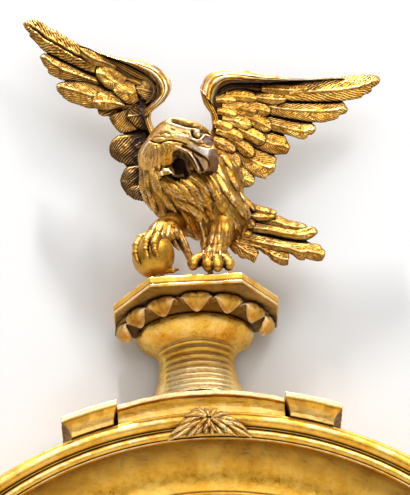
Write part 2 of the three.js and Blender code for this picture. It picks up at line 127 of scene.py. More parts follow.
# ------------------------------------------------------------------ mesh bucket
class Bucket:
    """Closed shells gathered into one piece."""

    def __init__(self):
        self.v, self.f, self.a, self.r, self.c, self.n = [], [], [], [], [], 0

    def add(self, V, F, A=None, R=None, C=None):
        V = np.asarray(V, float)
        self.v.append(V)
        self.a.append(np.zeros(len(V)) if A is None else np.asarray(A, float))
        self.r.append(np.zeros(len(V)) if R is None else np.asarray(R, float))
        self.c.append(np.zeros(len(V)) if C is None else np.asarray(C, float))
        off = self.n
        for q in F:
            q = np.asarray(q, int)
            if len(q):
                self.f.append(q + off)
        self.n += len(V)

    def build(self, name, mat, body="root", nodes=(), slot=None, flat=False):
        V = np.vstack(self.v) * 0.001
        me = bpy.data.meshes.new(name)
        faces = []
        for q in self.f:
            faces.extend(q.tolist())
        me.from_pydata(V.tolist(), [], faces)
        at = me.attributes.new("dirt_and_shade", "FLOAT", "POINT")
        at.data.foreach_set("value", np.clip(np.concatenate(self.a), 0, 1).astype(np.float32))
        at = me.attributes.new("rub", "FLOAT", "POINT")
        at.data.foreach_set("value", np.clip(np.concatenate(self.r), 0, 1).astype(np.float32))
        at = me.attributes.new("clay", "FLOAT", "POINT")
        at.data.foreach_set("value", np.clip(np.concatenate(self.c), 0, 1).astype(np.float32))
        me.polygons.foreach_set("use_smooth", np.full(len(me.polygons), not flat))
        me.update()
        return piece(name, me, mat, body, nodes)


def piece(name, me, mat, body="root", nodes=()):
    ob = bpy.data.objects.new(name, me)
    bpy.context.scene.collection.objects.link(ob)
    me.materials.clear()
    me.materials.append(mat)
    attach(ob, body)
    if nodes:
        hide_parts(*nodes)
    return ob


def grid_faces(n, m, flip=False, base=0, wrap=False):
    """Quads of an n by m grid of vertices numbered row by row."""
    i, j = np.meshgrid(np.arange(n if wrap else n - 1), np.arange(m - 1), indexing="ij")
    a = (i % n) * m + j
    b = ((i + 1) % n) * m + j
    q = np.stack([a, b, b + 1, a + 1], -1).reshape(-1, 4) + base
    return q[:, ::-1] if flip else q


# ------------------------------------------------------------------ carved blades (feathers and leaves)
def vane(L, w, tr, s, t, o, seed):
    """Relief of a feather on an (s, t) grid: height in mm, and darkness: grime and painted shade in the grooves between
    strands, beside the shaft and at the covered base.
    """
    dist = np.abs(t - tr) * w
    side = np.where(t < tr, tr, 1 - tr) * w + 1e-6
    tau = np.clip(dist / side, 0, 1)
    sp, slope = o["sp"], o["slope"]
    sg = np.where(t < tr, 0.0, 1.0)
    sl = s * L
    wob = (noise1(sl / (sp * 2.3), seed + 7 * 1.0) - 0.5) * 0.9 + 0.55 * (noise1(dist / 3.1 + 0.21 * sl, seed + 17.0 + sg) - 0.5)
    q = (sl - slope * dist) / sp + wob + sg * 0.43 + seed * 0.37
    g = np.abs(np.sin(math.pi * q))
    cell = np.floor(q)
    amp = o["amp"] * (0.65 + 0.7 * hash01(cell, seed + sg))
    fade = smooth(0.5, 2.6, dist) * smooth(-0.02, 0.16, s) * smooth(0.0, 0.9, side)
    ridge = np.power(g, 0.55)
    h = o["crown"] * (1 - tau ** 2.4) * smooth(0, 5, side)
    h = h - amp * (1 - ridge) * fade
    # single strands stand a little higher or lower than their neighbours
    h = h + 0.35 * o["amp"] * (hash01(cell, seed + 3 + sg) - 0.5) * fade * ridge
    rw, rh = o["rw"], o["rh"]
    run = smooth(1.02, 0.8, s) * smooth(0, 3, side)
    if o["double"]:
        rr = np.exp(-((dist - 1.9 * rw) / rw) ** 2) - 1.1 * np.exp(-(dist / (0.8 * rw)) ** 2)
        h = h + rh * rr * run
        dr = np.exp(-(dist / (0.8 * rw)) ** 2)
    else:
        h = h + rh * np.exp(-(dist / rw) ** 2) * run
        dr = 0.6 * np.exp(-((dist - 1.7 * rw) / (0.6 * rw)) ** 2)
    # painted shade, with some grime, in the grooves between strands and beside the shaft ridge
    dirt_and_shade = 0.85 * np.power(1 - g, 2.2) * fade + dr * run * 0.8 * min(1.0, rh / 0.3)
    # painted shade towards the base, where the feather above covers it
    dirt_and_shade = dirt_and_shade + o["shade"] * (1 - smooth(0.05, 0.5, s))
    return h, dirt_and_shade, q, g, tau


DEF = dict(sp=4.6, slope=1.35, amp=1.3, crown=1.7, rw=0.8, rh=0.5, thick=2.4, double=False, ser=1.0, shade=0.15, edge=1.3, tilt=0.0,
           res=0.62, bow=0.0, tr=0.5)


def blade(bk, A, B, d, seed=1.0, **kw):
    """A feather between its two edges A and B, lists of picture points from base to tip, at depths d along it."""
    o = dict(DEF, **kw)
    k = 1.0
    A, B = np.asarray(A, float), np.asarray(B, float)
    LA = np.linalg.norm(np.diff(A, axis=0), axis=1).sum()
    LB = np.linalg.norm(np.diff(B, axis=0), axis=1).sum()
    L = 0.5 * (LA + LB)
    n = max(8, int(L / (o["res"] * k)))
    a, b = even(A, n), even(B, n)
    w0 = np.linalg.norm(b - a, axis=1)
    m = max(7, int(w0.max() / (o["res"] * k)) | 1)
    s = np.linspace(0, 1, n)[:, None]
    t = np.linspace(0, 1, m)[None, :]
    # finer near both edges
    t = t + 0.045 * np.sin(TAU * t) * -1
    tr = np.interp(s[:, 0], np.linspace(0, 1, np.size(o["tr"])), np.atleast_1d(o["tr"]))[:, None]
    w = np.maximum(w0, 1e-3)[:, None]
    s2, t2 = np.broadcast_to(s, (n, m)), np.broadcast_to(t, (n, m))
    o = dict(o, sp=1.4 * o["sp"], amp=1.3 * o["amp"], crown=0.6 * o["crown"], edge=1.15 * o["edge"], slope=1.5 * o["slope"])
    h, dirt_and_shade, q, g, tau = vane(L, w, tr, s2, t2, o, seed)
    # the strands end in small teeth along the edges
    if o["ser"]:
        notch = o["ser"] * (1 - np.power(g, 0.7)) * smooth(0.05, 0.3, s2)
        pull = np.minimum(notch / np.maximum(w, 3), 0.2)
        t2 = tr + (t2 - tr) * (1 - pull * smooth(0.5, 1, tau))
    P = a[:, None, :] * (1 - t2[..., None]) + b[:, None, :] * t2[..., None]
    dl = np.interp(s[:, 0], np.linspace(0, 1, np.size(d)), np.atleast_1d(np.asarray(d, float)))[:, None]
    de = np.minimum(np.minimum(t2 * w, (1 - t2) * w), (1 - s2) * L + 0.25)
    h = h - o["edge"] * np.exp(-np.maximum(de, 0) / 0.9)
    # painted shade along the edges, where feathers overlap, and painted cast shade over whole feathers that lie in
    # shadow
    dirt_and_shade = dirt_and_shade + o.get("ed", 0.62) * np.exp(-np.maximum(de, 0) / 0.85) + o.get("dim", 0.0)
    lump = noise3(np.stack([P[..., 0], P[..., 1], np.full((n, m), 3.1 * seed)], -1), 0.19, 51.0) - 0.5
    lump2 = noise3(np.stack([P[..., 0], P[..., 1], np.full((n, m), 3.1 * seed)], -1), 0.5, 52.0) - 0.5
    keep = smooth(0.0, 3.0, de)
    h = h + keep * (1.9 * lump + 0.8 * lump2)
    depth = dl + h + o["tilt"] * (t2 - 0.5) + o["bow"] * np.sin(math.pi * s2)
    F3 = W(P[..., 0], P[..., 1], depth).reshape(-1, 3)
    lo = dl[:, 0] - o["thick"] + o["bow"] * np.sin(math.pi * s[:, 0])
    back = []
    for tt in (0, m // 2, m - 1):
        back.append(W(P[:, tt, 0], P[:, tt, 1], np.minimum(lo + o["tilt"] * (t2[:, tt] - 0.5), depth[:, tt] - 0.6)))
    bv = np.stack(back, 1).reshape(-1, 3)
    area = 0.5 * np.sum(np.r_[A, B[::-1]][:, 0] * np.roll(np.r_[A, B[::-1]][:, 1], -1) - np.roll(np.r_[A, B[::-1]][:, 0], -1) * np.r_[A, B[::-1]][:, 1])
    flip = area > 0
    N = n * m
    F = [grid_faces(n, m, flip), grid_faces(n, 3, not flip, N)]
    i = np.arange(n - 1)
    e0 = np.stack([i * m, N + i * 3, N + (i + 1) * 3, (i + 1) * m], -1)
    e1 = np.stack([i * m + m - 1, (i + 1) * m + m - 1, N + (i + 1) * 3 + 2, N + i * 3 + 2], -1)
    F += [e0[:, ::-1] if flip else e0, e1[:, ::-1] if flip else e1]
    for r in (0, n - 1):
        loop = np.r_[r * m + np.arange(m), N + r * 3 + np.array([2, 1, 0])]
        loop = loop if (r == 0) != flip else loop[::-1]
        # a fan closes each end
        F.append(np.stack([np.full(len(loop) - 2, loop[0]), loop[1:-1], loop[2:]], -1)[:, ::-1])
    A2 = np.concatenate([dirt_and_shade.ravel(), np.full(len(bv), 0.45)])
    # painted highlight, with worn leaf, on the crests of some strands and along the shaft
    crest = o.get("rub", 0.16) * smooth(0.72, 0.99, g) * smooth(0.25, 0.8, hash01(np.floor(q), seed + 9)) * (1 - smooth(0.3, 0.9, dirt_and_shade))
    crest = crest + 0.3 * np.exp(-((t2 - tr) * w / (0.8 * o["rw"])) ** 2) * (0 if o["double"] else min(1.0, o["rh"] / 0.3)) * smooth(0.3, 0.7, noise1(s2 * L / 14, seed + 4))
    bk.add(np.vstack([F3, bv]), F, A2, np.concatenate([np.clip(crest, 0, 1).ravel(), np.zeros(len(bv))]))


def quill(spine, hw, tip=0.3, base=0.72, blunt=2.2, asym=0.5, point=0.0):
    """Edges of a feather from its middle line and half width."""
    n = 48
    c = crom(spine, n)
    tg = np.gradient(c, axis=0)
    tg /= np.linalg.norm(tg, axis=1)[:, None] + 1e-9
    nr = np.stack([tg[:, 1], -tg[:, 0]], 1)
    s = np.linspace(0, 1, n)
    u = np.clip((s - (1 - tip)) / tip, 0, 1)
    end = np.power(np.maximum(1 - u ** blunt, 0), 1 / blunt) * (1 - point * u)
    w = hw * (base + (1 - base) * smooth(0, 0.45, s)) * end
    w = np.maximum(w, 0.12)
    return c + nr * (2 * asym * w)[:, None], c - nr * (2 * (1 - asym) * w)[:, None]


# ------------------------------------------------------------------ signed-distance volumes
class Vol:
    def __init__(self, lo, hi, h):
        self.h = h * 1.0
        self.o = np.array(lo, float)
        self.n = (np.ceil((np.array(hi, float) - self.o) / self.h)).astype(int) + 1
        self.f = np.full(self.n, 25.0, np.float32)
        self.ax = [self.o[k] + self.h * np.arange(self.n[k]) for k in range(3)]

    def _sl(self, lo, hi):
        a = np.clip(np.floor((np.asarray(lo) - self.o) / self.h).astype(int), 0, self.n - 1)
        b = np.clip(np.ceil((np.asarray(hi) - self.o) / self.h).astype(int) + 1, 1, self.n)
        return tuple(slice(int(p), int(q)) for p, q in zip(a, b))

    def _xyz(self, sl):
        return (self.ax[0][sl[0]][:, None, None], self.ax[1][sl[1]][None, :, None], self.ax[2][sl[2]][None, None, :])

    def _put(self, sl, g, k, sub):
        f = self.f[sl]
        if sub:
            f, g = -f, g
        hh = np.maximum(k - np.abs(f - g), 0) / max(k, 1e-6)
        r = np.minimum(f, g) - hh * hh * k * 0.25
        self.f[sl] = -r if sub else r

    def cone(self, a, b, ra, rb, k=2.0, sub=False):
        a, b = np.asarray(a, float), np.asarray(b, float)
        R = max(ra, rb) + k + 6 * self.h + 4
        sl = self._sl(np.minimum(a, b) - R, np.maximum(a, b) + R)
        if any(s.stop - s.start < 2 for s in sl):
            return
        X, Y, Z = self._xyz(sl)
        ba = b - a
        L2 = float(ba @ ba) + 1e-9
        u = np.clip(((X - a[0]) * ba[0] + (Y - a[1]) * ba[1] + (Z - a[2]) * ba[2]) / L2, 0, 1)
        g = np.sqrt((X - a[0] - u * ba[0]) ** 2 + (Y - a[1] - u * ba[1]) ** 2 + (Z - a[2] - u * ba[2]) ** 2) - (ra + (rb - ra) * u)
        self._put(sl, g.astype(np.float32), k, sub)

    def chain(self, pts, k=2.0, sub=False):
        """pts: (x, y, z, r) in mm."""
        P = np.asarray(pts, float)
        if len(P) == 1:
            self.cone(P[0, :3], P[0, :3] + 1e-3, P[0, 3], P[0, 3], k, sub)
        for p, q in zip(P[:-1], P[1:]):
            self.cone(p[:3], q[:3], p[3], q[3], k, sub)

    def ell(self, c, r, k=2.0, sub=False, rot=None):
        c, r = np.asarray(c, float), np.asarray(r, float)
        R = r.max() + k + 6 * self.h + 4
        sl = self._sl(c - R, c + R)
        if any(s.stop - s.start < 2 for s in sl):
            return
        X, Y, Z = self._xyz(sl)
        q = [X - c[0], Y - c[1], Z - c[2]]
        if rot is not None:
            M = np.asarray(rot, float)
            q = [M[i, 0] * q[0] + M[i, 1] * q[1] + M[i, 2] * q[2] for i in range(3)]
        k0 = np.sqrt(sum((q[i] / r[i]) ** 2 for i in range(3)))
        k1 = np.sqrt(sum((q[i] / r[i] ** 2) ** 2 for i in range(3))) + 1e-9
        self._put(sl, (k0 * (k0 - 1) / k1).astype(np.float32), k, sub)

    def sample(self, P):
        q = (np.asarray(P, float) - self.o) / self.h
        i = np.clip(np.floor(q).astype(int), 0, self.n - 2)
        u = np.clip(q - i, 0, 1)
        f = self.f
        out = 0.0
        for a in (0, 1):
            for b in (0, 1):
                for c in (0, 1):
                    w = (u[..., 0] if a else 1 - u[..., 0]) * (u[..., 1] if b else 1 - u[..., 1]) * (u[..., 2] if c else 1 - u[..., 2])
                    out = out + w * f[i[..., 0] + a, i[..., 1] + b, i[..., 2] + c]
        return out

    def normal(self, P, e=1.2):
        g = np.stack([self.sample(P + np.eye(3)[k] * e) - self.sample(P - np.eye(3)[k] * e) for k in range(3)], -1)
        return g / (np.linalg.norm(g, axis=-1, keepdims=True) + 1e-9)

    def snap(self, P, steps=3):
        for _ in range(steps):
            v = self.sample(P)
            n = self.normal(P)
            P = P - n * np.clip(v, -4, 4)[..., None]
        return P

    def depth(self, px, py, near=150.0, far=5.0):
        """Distance in front of the wall of the surface seen at each picture point; nan where there is none."""
        px, py = np.broadcast_arrays(np.asarray(px, float), np.asarray(py, float))
        out = np.full(px.shape, np.nan)
        prev = self.sample(W(px, py, near))
        d0 = near
        step = 1.0
        d = near - step
        while d > far:
            v = self.sample(W(px, py, d))
            hit = np.isnan(out) & (v < 0)
            if hit.any():
                u = prev[hit] / (prev[hit] - v[hit] + 1e-9)
                out[hit] = d0 + (d - d0) * np.clip(u, 0, 1)
            prev, d0 = v, d
            d -= step
        return out

    def mesh(self):
        f = self.f
        s = f < 0
        c = np.zeros(np.array(f.shape) - 1, np.int8)
        corners = [(a, b, d) for a in (0, 1) for b in (0, 1) for d in (0, 1)]
        nx, ny, nz = c.shape
        for a, b, d in corners:
            c += s[a:a + nx, b:b + ny, d:d + nz]
        act = (c > 0) & (c < 8)
        ijk = np.argwhere(act)
        idx = np.full(act.shape, -1, np.int64)
        idx[act] = np.arange(len(ijk))
        acc = np.zeros((len(ijk), 3))
        cnt = np.zeros(len(ijk))
        for a in corners:
            for k in range(3):
                if a[k] == 0:
                    b = list(a)
                    b[k] = 1
                    fa = f[ijk[:, 0] + a[0], ijk[:, 1] + a[1], ijk[:, 2] + a[2]]
                    fb = f[ijk[:, 0] + b[0], ijk[:, 1] + b[1], ijk[:, 2] + b[2]]
                    m = (fa < 0) != (fb < 0)
                    u = fa[m] / (fa[m] - fb[m])
                    p = np.tile(np.array(a, float), (m.sum(), 1))
                    p[:, k] += u
                    acc[m] += p
                    cnt[m] += 1
        V = self.o + (ijk + acc / cnt[:, None]) * self.h
        Q = []
        for k in range(3):
            sa = np.moveaxis(s, k, 0)
            ch = sa[:-1] != sa[1:]
            ch = ch[:, 1:-1, 1:-1]
            e = np.argwhere(ch)
            up = sa[:-1][:, 1:-1, 1:-1][ch]
            e = e + np.array([0, 1, 1])
            I = np.moveaxis(idx, k, 0)
            a0 = I[e[:, 0], e[:, 1] - 1, e[:, 2] - 1]
            a1 = I[e[:, 0], e[:, 1], e[:, 2] - 1]
            a2 = I[e[:, 0], e[:, 1], e[:, 2]]
            a3 = I[e[:, 0], e[:, 1] - 1, e[:, 2]]
            q = np.stack([a0, a1, a2, a3], -1)
            flip = ~up if k != 1 else up
            q[flip] = q[flip][:, ::-1]
            Q.append(q)
        Q = np.vstack(Q)
        return V, Q


def hollow_dirt_and_shade(vol, V):
    """Grime and painted shade in hollows: how far the distance field's surroundings lie inside the solid."""
    n = vol.normal(V)
    a = vol.sample(V + n * 2.2)
    b = vol.sample(V + n * 4.5)
    return np.clip((2.2 - a) / 2.2, 0, 1) * 0.9 + np.clip((4.5 - b) / 4.5, 0, 1) * 0.35


def body_blade(bk, vol, path, hw, lift=(-0.6, 1.7), seed=1.0, world=False, **kw):
    """A feather that follows the surface of a volume. path: picture points with the surface's own depth, or world points."""
    o = dict(DEF, sp=2.7, amp=0.55, crown=1.3, rw=0.7, rh=0.25, ser=0.6, edge=0.9, res=0.85, slope=1.9, tip=0.42, blunt=1.7, point=0.25)
    o.update(kw)
    k = 1.0
    path = np.asarray(path, float)
    if not world:
        c = crom(path, 24)
        d = vol.depth(c[:, 0], c[:, 1])
        ok = ~np.isnan(d)
        if ok.sum() < 6:
            return
        d = np.interp(np.arange(24), np.where(ok)[0], d[ok])
        d = np.convolve(np.pad(d, 2, mode="edge"), np.ones(5) / 5, "valid")
        P = W(c[:, 0], c[:, 1], d)
    else:
        P = path
    P = vol.snap(P)
    L = np.linalg.norm(np.diff(P, axis=0), axis=1).sum()
    n = max(10, int(L / (o["res"] * k)))
    ss = np.r_[0, np.cumsum(np.linalg.norm(np.diff(P, axis=0), axis=1))]
    tt = np.linspace(0, ss[-1], n)
    P = np.stack([np.interp(tt, ss, P[:, i]) for i in range(3)], 1)
    N = vol.normal(P, 2.0)
    T = np.gradient(P, axis=0)
    T /= np.linalg.norm(T, axis=1)[:, None] + 1e-9
    S = np.cross(N, T)
    S /= np.linalg.norm(S, axis=1)[:, None] + 1e-9
    s = np.linspace(0, 1, n)
    u = np.clip((s - (1 - o["tip"])) / o["tip"], 0, 1)
    w = hw * (0.7 + 0.3 * smooth(0, 0.4, s)) * np.power(np.maximum(1 - u ** o["blunt"], 0), 1 / o["blunt"]) * (1 - o["point"] * u)
    w = np.maximum(w, 0.15)
    m = max(7, int(2 * hw / (o["res"] * k)) | 1)
    t = np.linspace(-1, 1, m)
    Q = P[:, None, :] + S[:, None, :] * (w[:, None] * t[None, :])[..., None]
    Q = vol.snap(Q, 2)
    N2 = vol.normal(Q, 2.0)
    s2 = np.broadcast_to(s[:, None], (n, m))
    t2 = np.broadcast_to((t[None, :] + 1) / 2, (n, m))
    h, dirt_and_shade, q, g, tau = vane(L, 2 * w[:, None], 0.5, s2, t2, o, seed)
    de = np.minimum((1 - np.abs(t[None, :])) * w[:, None], (1 - s2) * L + 0.2)
    h = h - o["edge"] * np.exp(-np.maximum(de, 0) / 0.8)
    lf = np.interp(s, np.linspace(0, 1, len(lift)), lift)[:, None]
    F3 = Q + N2 * (lf + h)[..., None]
    Bk = Q[:, [0, m // 2, m - 1]] - N2[:, [0, m // 2, m - 1]] * 1.6
    # painted shade along the edges; painted highlight, with worn leaf, on the crests of some strands below
    dirt_and_shade = dirt_and_shade + 0.45 * np.exp(-np.maximum(de, 0) / 0.7)
    crest = smooth(0.6, 0.98, g) * smooth(0.45, 0.85, hash01(np.floor(q), seed + 9)) * smooth(0.3, 0.8, s2) * (1 - smooth(0.3, 0.9, dirt_and_shade))
    V = np.vstack([F3.reshape(-1, 3), Bk.reshape(-1, 3)])
    M = n * m
    F = [grid_faces(n, m, False), grid_faces(n, 3, True, M)]
    i = np.arange(n - 1)
    F.append(np.stack([i * m, M + i * 3, M + (i + 1) * 3, (i + 1) * m], -1))
    F.append(np.stack([i * m + m - 1, (i + 1) * m + m - 1, M + (i + 1) * 3 + 2, M + i * 3 + 2], -1))
    for r in (0, n - 1):
        loop = np.r_[r * m + np.arange(m), M + r * 3 + np.array([2, 1, 0])]
        loop = loop if r == 0 else loop[::-1]
        F.append(np.stack([np.full(len(loop) - 2, loop[0]), loop[1:-1], loop[2:]], -1)[:, ::-1])
    bk.add(V, F, np.concatenate([dirt_and_shade.ravel(), np.full(len(Bk.reshape(-1, 3)), 0.5)]), np.concatenate([crest.ravel(), np.zeros(len(Bk.reshape(-1, 3)))]))


# ------------------------------------------------------------------ materials
class Nodes:
    def __init__(self, name):
        self.m = bpy.data.materials.new(name)
        self.m.use_nodes = True
        self.t = self.m.node_tree
        self.t.nodes.clear()
        self.out = self.t.nodes.new("ShaderNodeOutputMaterial")
        self.b = self.t.nodes.new("ShaderNodeBsdfPrincipled")
        self.t.links.new(self.b.outputs[0], self.out.inputs[0])
        tc = self.t.nodes.new("ShaderNodeTexCoord")
        self.co = tc.outputs["Object"]

    def link(self, a, b):
        self.t.links.new(a, b)

    def node(self, kind, **kw):
        n = self.t.nodes.new(kind)
        for k, v in kw.items():
            setattr(n, k, v)
        return n

    def noise(self, scale, detail=4.0, rough=0.55, dist=0.0, co=None):
        n = self.node("ShaderNodeTexNoise")
        n.inputs["Scale"].default_value = scale
        n.inputs["Detail"].default_value = detail
        n.inputs["Roughness"].default_value = rough
        n.inputs["Distortion"].default_value = dist
        self.link(co or self.co, n.inputs["Vector"])
        return n.outputs["Fac"] if "Fac" in n.outputs else n.outputs[0]

    def ramp(self, fac, stops):
        n = self.node("ShaderNodeValToRGB")
        el = n.color_ramp.elements
        while len(el) < len(stops):
            el.new(0.5)
        for e, (p, c) in zip(el, stops):
            e.position = p
            e.color = (*c, 1) if len(c) == 3 else c
        self.link(fac, n.inputs[0])
        return n.outputs[0]

    def math(self, op, a, b=None, clamp=False):
        n = self.node("ShaderNodeMath", operation=op, use_clamp=clamp)
        for i, v in enumerate((a, b)):
            if v is None:
                continue
            if isinstance(v, (int, float)):
                n.inputs[i].default_value = v
            else:
                self.link(v, n.inputs[i])
        return n.outputs[0]

    def mapr(self, v, a, b, c=0.0, d=1.0):
        n = self.node("ShaderNodeMapRange", clamp=True)
        self.link(v, n.inputs[0])
        for i, x in enumerate((a, b, c, d)):
            n.inputs[i + 1].default_value = x
        return n.outputs[0]

    def mix(self, fac, a, b, mode="MIX"):
        n = self.node("ShaderNodeMix", data_type="RGBA", blend_type=mode)
        for sock, v in ((n.inputs[0], fac), (n.inputs[6], a), (n.inputs[7], b)):
            if isinstance(v, (int, float)):
                sock.default_value = v
            elif isinstance(v, tuple):
                sock.default_value = (*v, 1)
            else:
                self.link(v, sock)
        return n.outputs[2]

    def bump(self, h, strength, dist, prev=None):
        n = self.node("ShaderNodeBump")
        n.inputs["Strength"].default_value = strength
        n.inputs["Distance"].default_value = dist
        self.link(h, n.inputs["Height"])
        if prev is not None:
            self.link(prev, n.inputs["Normal"])
        return n.outputs[0]

    def done(self, color=None, rough=None, metal=None, normal=None, **kw):
        for key, v in (("Base Color", color), ("Roughness", rough), ("Metallic", metal), ("Normal", normal)):
            if v is None:
                continue
            s = self.b.inputs[key]
            if isinstance(v, (int, float)):
                s.default_value = v
            elif isinstance(v, tuple):
                s.default_value = (*v, 1)
            else:
                self.link(v, s)
        for k, v in kw.items():
            self.b.inputs[k.replace("_", " ")].default_value = v
        return self.m


def gilt(name, dark, mid, light, worn, dirt_and_shade_gain=1.0, wear=0.5, rough=0.36, red=0.35, speck=1.0, edge_lo=0.52, metal=0.95, bare=(0.97, 0.83, 0.56), bare_and_highlight_metal=0.22):
    """Gold leaf over red clay on gesso: pale or red where it is worn through, pale also where highlights are painted,
    brown in the hollows as grime and painted shade.
    """
    M = Nodes(name)
    big = M.noise(38, 4, 0.6, 0.4)
    midn = M.noise(170, 5, 0.65, 0.6)
    fine = M.noise(900, 4, 0.6)
    tone = M.math("ADD", M.math("MULTIPLY", big, 0.55), M.math("MULTIPLY", midn, 0.45))
    col = M.ramp(tone, [(0.36, dark), (0.5, mid), (0.64, light)])
    geo = M.node("ShaderNodeNewGeometry")
    pt = geo.outputs["Pointiness"]
    dirt_and_shade = M.node("ShaderNodeAttribute", attribute_name="dirt_and_shade").outputs["Fac"]
    thin_leaf_and_highlight = M.node("ShaderNodeAttribute", attribute_name="rub").outputs["Fac"]
    ao = M.node("ShaderNodeAmbientOcclusion", samples=6)
    ao.inputs["Distance"].default_value = 0.009
    ao_shade = M.mapr(ao.outputs["AO"], 0.25, 0.78, 1.0, 0.0)
    # rubbed high places: convex edges turn pale, as wear and painted highlight
    hi = M.mapr(pt, edge_lo, edge_lo + 0.06)
    rub = M.math("MULTIPLY", hi, M.mapr(midn, 0.42, 0.60), True)
    rub = M.math("MULTIPLY", rub, wear, True)
    col = M.mix(rub, col, worn)
    # red clay showing in patches
    clay = M.math("MULTIPLY", M.mapr(M.noise(75, 6, 0.7, 1.2), 0.56, 0.68), red, True)
    col = M.mix(clay, col, (0.23, 0.065, 0.022))
    # leaf rubbed through to the pale ground along the mouldings' edges, and painted highlights, both from the
    # per-vertex paleness
    thin_leaf_and_highlight_mask = M.math("MULTIPLY", thin_leaf_and_highlight, M.mapr(M.noise(260, 5, 0.7, 0.8), 0.34, 0.56, 0.25, 1.0), True)
    col = M.mix(thin_leaf_and_highlight_mask, col, bare)
    cly = M.math("MULTIPLY", M.node("ShaderNodeAttribute", attribute_name="clay").outputs["Fac"], M.mapr(midn, 0.30, 0.55, 0.72, 1.0), True)
    col = M.mix(cly, col, M.ramp(midn, [(0.35, (0.034, 0.008, 0.007)), (0.62, (0.135, 0.031, 0.019))]))
    # grime and painted shade: the per-vertex darkness, ambient occlusion in hollows and low pointiness in creases
    # darken the leaf towards dark brown
    lo = M.mapr(pt, 0.49, 0.42)
    d = M.math("ADD", M.math("MULTIPLY", dirt_and_shade, 0.85), M.math("MULTIPLY", ao_shade, 0.72))
    d = M.math("ADD", d, M.math("MULTIPLY", lo, 0.30))
    d = M.math("MULTIPLY", d, M.mapr(midn, 0.25, 0.7, 0.75, 1.2))
    d = M.math("MULTIPLY", d, dirt_and_shade_gain, True)
    spk = M.math("MULTIPLY", M.mapr(M.noise(420, 3, 0.7), 0.62, 0.72), 0.5 * speck, True)
    d2 = M.math("MAXIMUM", d, spk)
    col = M.mix(M.mapr(d2, 0.05, 0.95), col, (0.024, 0.009, 0.002))
    ro = M.math("ADD", M.mapr(midn, 0.3, 0.7, rough - 0.07, rough + 0.11), M.math("ADD", M.math("MULTIPLY", d2, 0.25), M.math("MULTIPLY", cly, 0.34)), True)
    me = M.math("SUBTRACT", metal, M.math("MAXIMUM", M.math("MAXIMUM", M.math("MULTIPLY", d2, 0.3), M.math("MULTIPLY", thin_leaf_and_highlight_mask, bare_and_highlight_metal)), M.math("MULTIPLY", cly, 0.97)), True)
    nm = M.bump(fine, 0.25, 0.00025)
    nm = M.bump(midn, 0.35, 0.0006, nm)
    return M.done(col, ro, me, nm)


GOLD = gilt("gilt_eagle", (0.27, 0.100, 0.006), (0.62, 0.285, 0.024), (0.92, 0.54, 0.10), (1.0, 0.80, 0.42), 1.1, 0.8, 0.27, 0.20, 0.8)
# the head's near-white pale colour, taking little metal, also paints the beak's white highlight
GOLD_HEAD = gilt("gilt_head", (0.42, 0.185, 0.022), (0.72, 0.37, 0.06), (0.93, 0.60, 0.18), (0.98, 0.74, 0.46), 1.0, 0.7, 0.31, 0.28, 0.7, bare=(1.0, 0.90, 0.80), bare_and_highlight_metal=0.75)
GOLD_FRAME = gilt("gilt_frame", (0.62, 0.285, 0.018), (0.82, 0.44, 0.052), (0.93, 0.58, 0.12), (1.0, 0.80, 0.46), 0.9, 0.8, 0.31, 0.10, 0.25, bare=(1.0, 0.82, 0.48))
GOLD_DARK = gilt("gilt_leaves", (0.48, 0.205, 0.013), (0.80, 0.42, 0.045), (0.95, 0.62, 0.15), (1.0, 0.86, 0.56), 0.85, 1.0, 0.29, 0.12, 0.5, bare=(1.0, 0.86, 0.56))


# lighter, less darkened copies of the gilt for the neck and the clasp: painted light on these parts
GOLD_NECK = gilt("gilt_neck", (0.66, 0.32, 0.028), (0.88, 0.53, 0.09), (1.0, 0.72, 0.26), (1.0, 0.86, 0.55), 0.55, 0.9, 0.29, 0.08, 0.4, bare=(1.0, 0.88, 0.62))
GOLD_CLASP = gilt("gilt_clasp", (0.62, 0.31, 0.03), (0.88, 0.52, 0.09), (0.97, 0.70, 0.24), (1.0, 0.9, 0.66), 0.45, 1.0, 0.30, 0.05, 0.3, bare=(1.0, 0.90, 0.68))


def wood(name, dark, light, scale=1.0, rough=0.7, axis=2):
    M = Nodes(name)
    mp = M.node("ShaderNodeMapping")
    sc = [22.0 * scale] * 3
    sc[axis] = 1.6 * scale
    mp.inputs["Scale"].default_value = sc
    M.link(M.co, mp.inputs["Vector"])
    w = M.noise(6, 6, 0.6, 0.8, mp.outputs[0])
    f = M.noise(40, 3, 0.6, 0, mp.outputs[0])
    col = M.ramp(w, [(0.32, dark), (0.62, light)])
    col = M.mix(M.mapr(f, 0.55, 0.75), col, tuple(0.5 * c for c in dark))
    return M.done(col, M.mapr(f, 0.3, 0.7, rough - 0.1, rough + 0.1), 0.0, M.bump(f, 0.4, 0.0004))


PINE = wood("pine_old", (0.17, 0.095, 0.042), (0.33, 0.205, 0.105))
DOWEL = wood("dowel", (0.30, 0.20, 0.11), (0.48, 0.35, 0.2), 2.0)
EBONY = wood("ebonised", (0.008, 0.007, 0.006), (0.022, 0.018, 0.015), 1.5, 0.34)


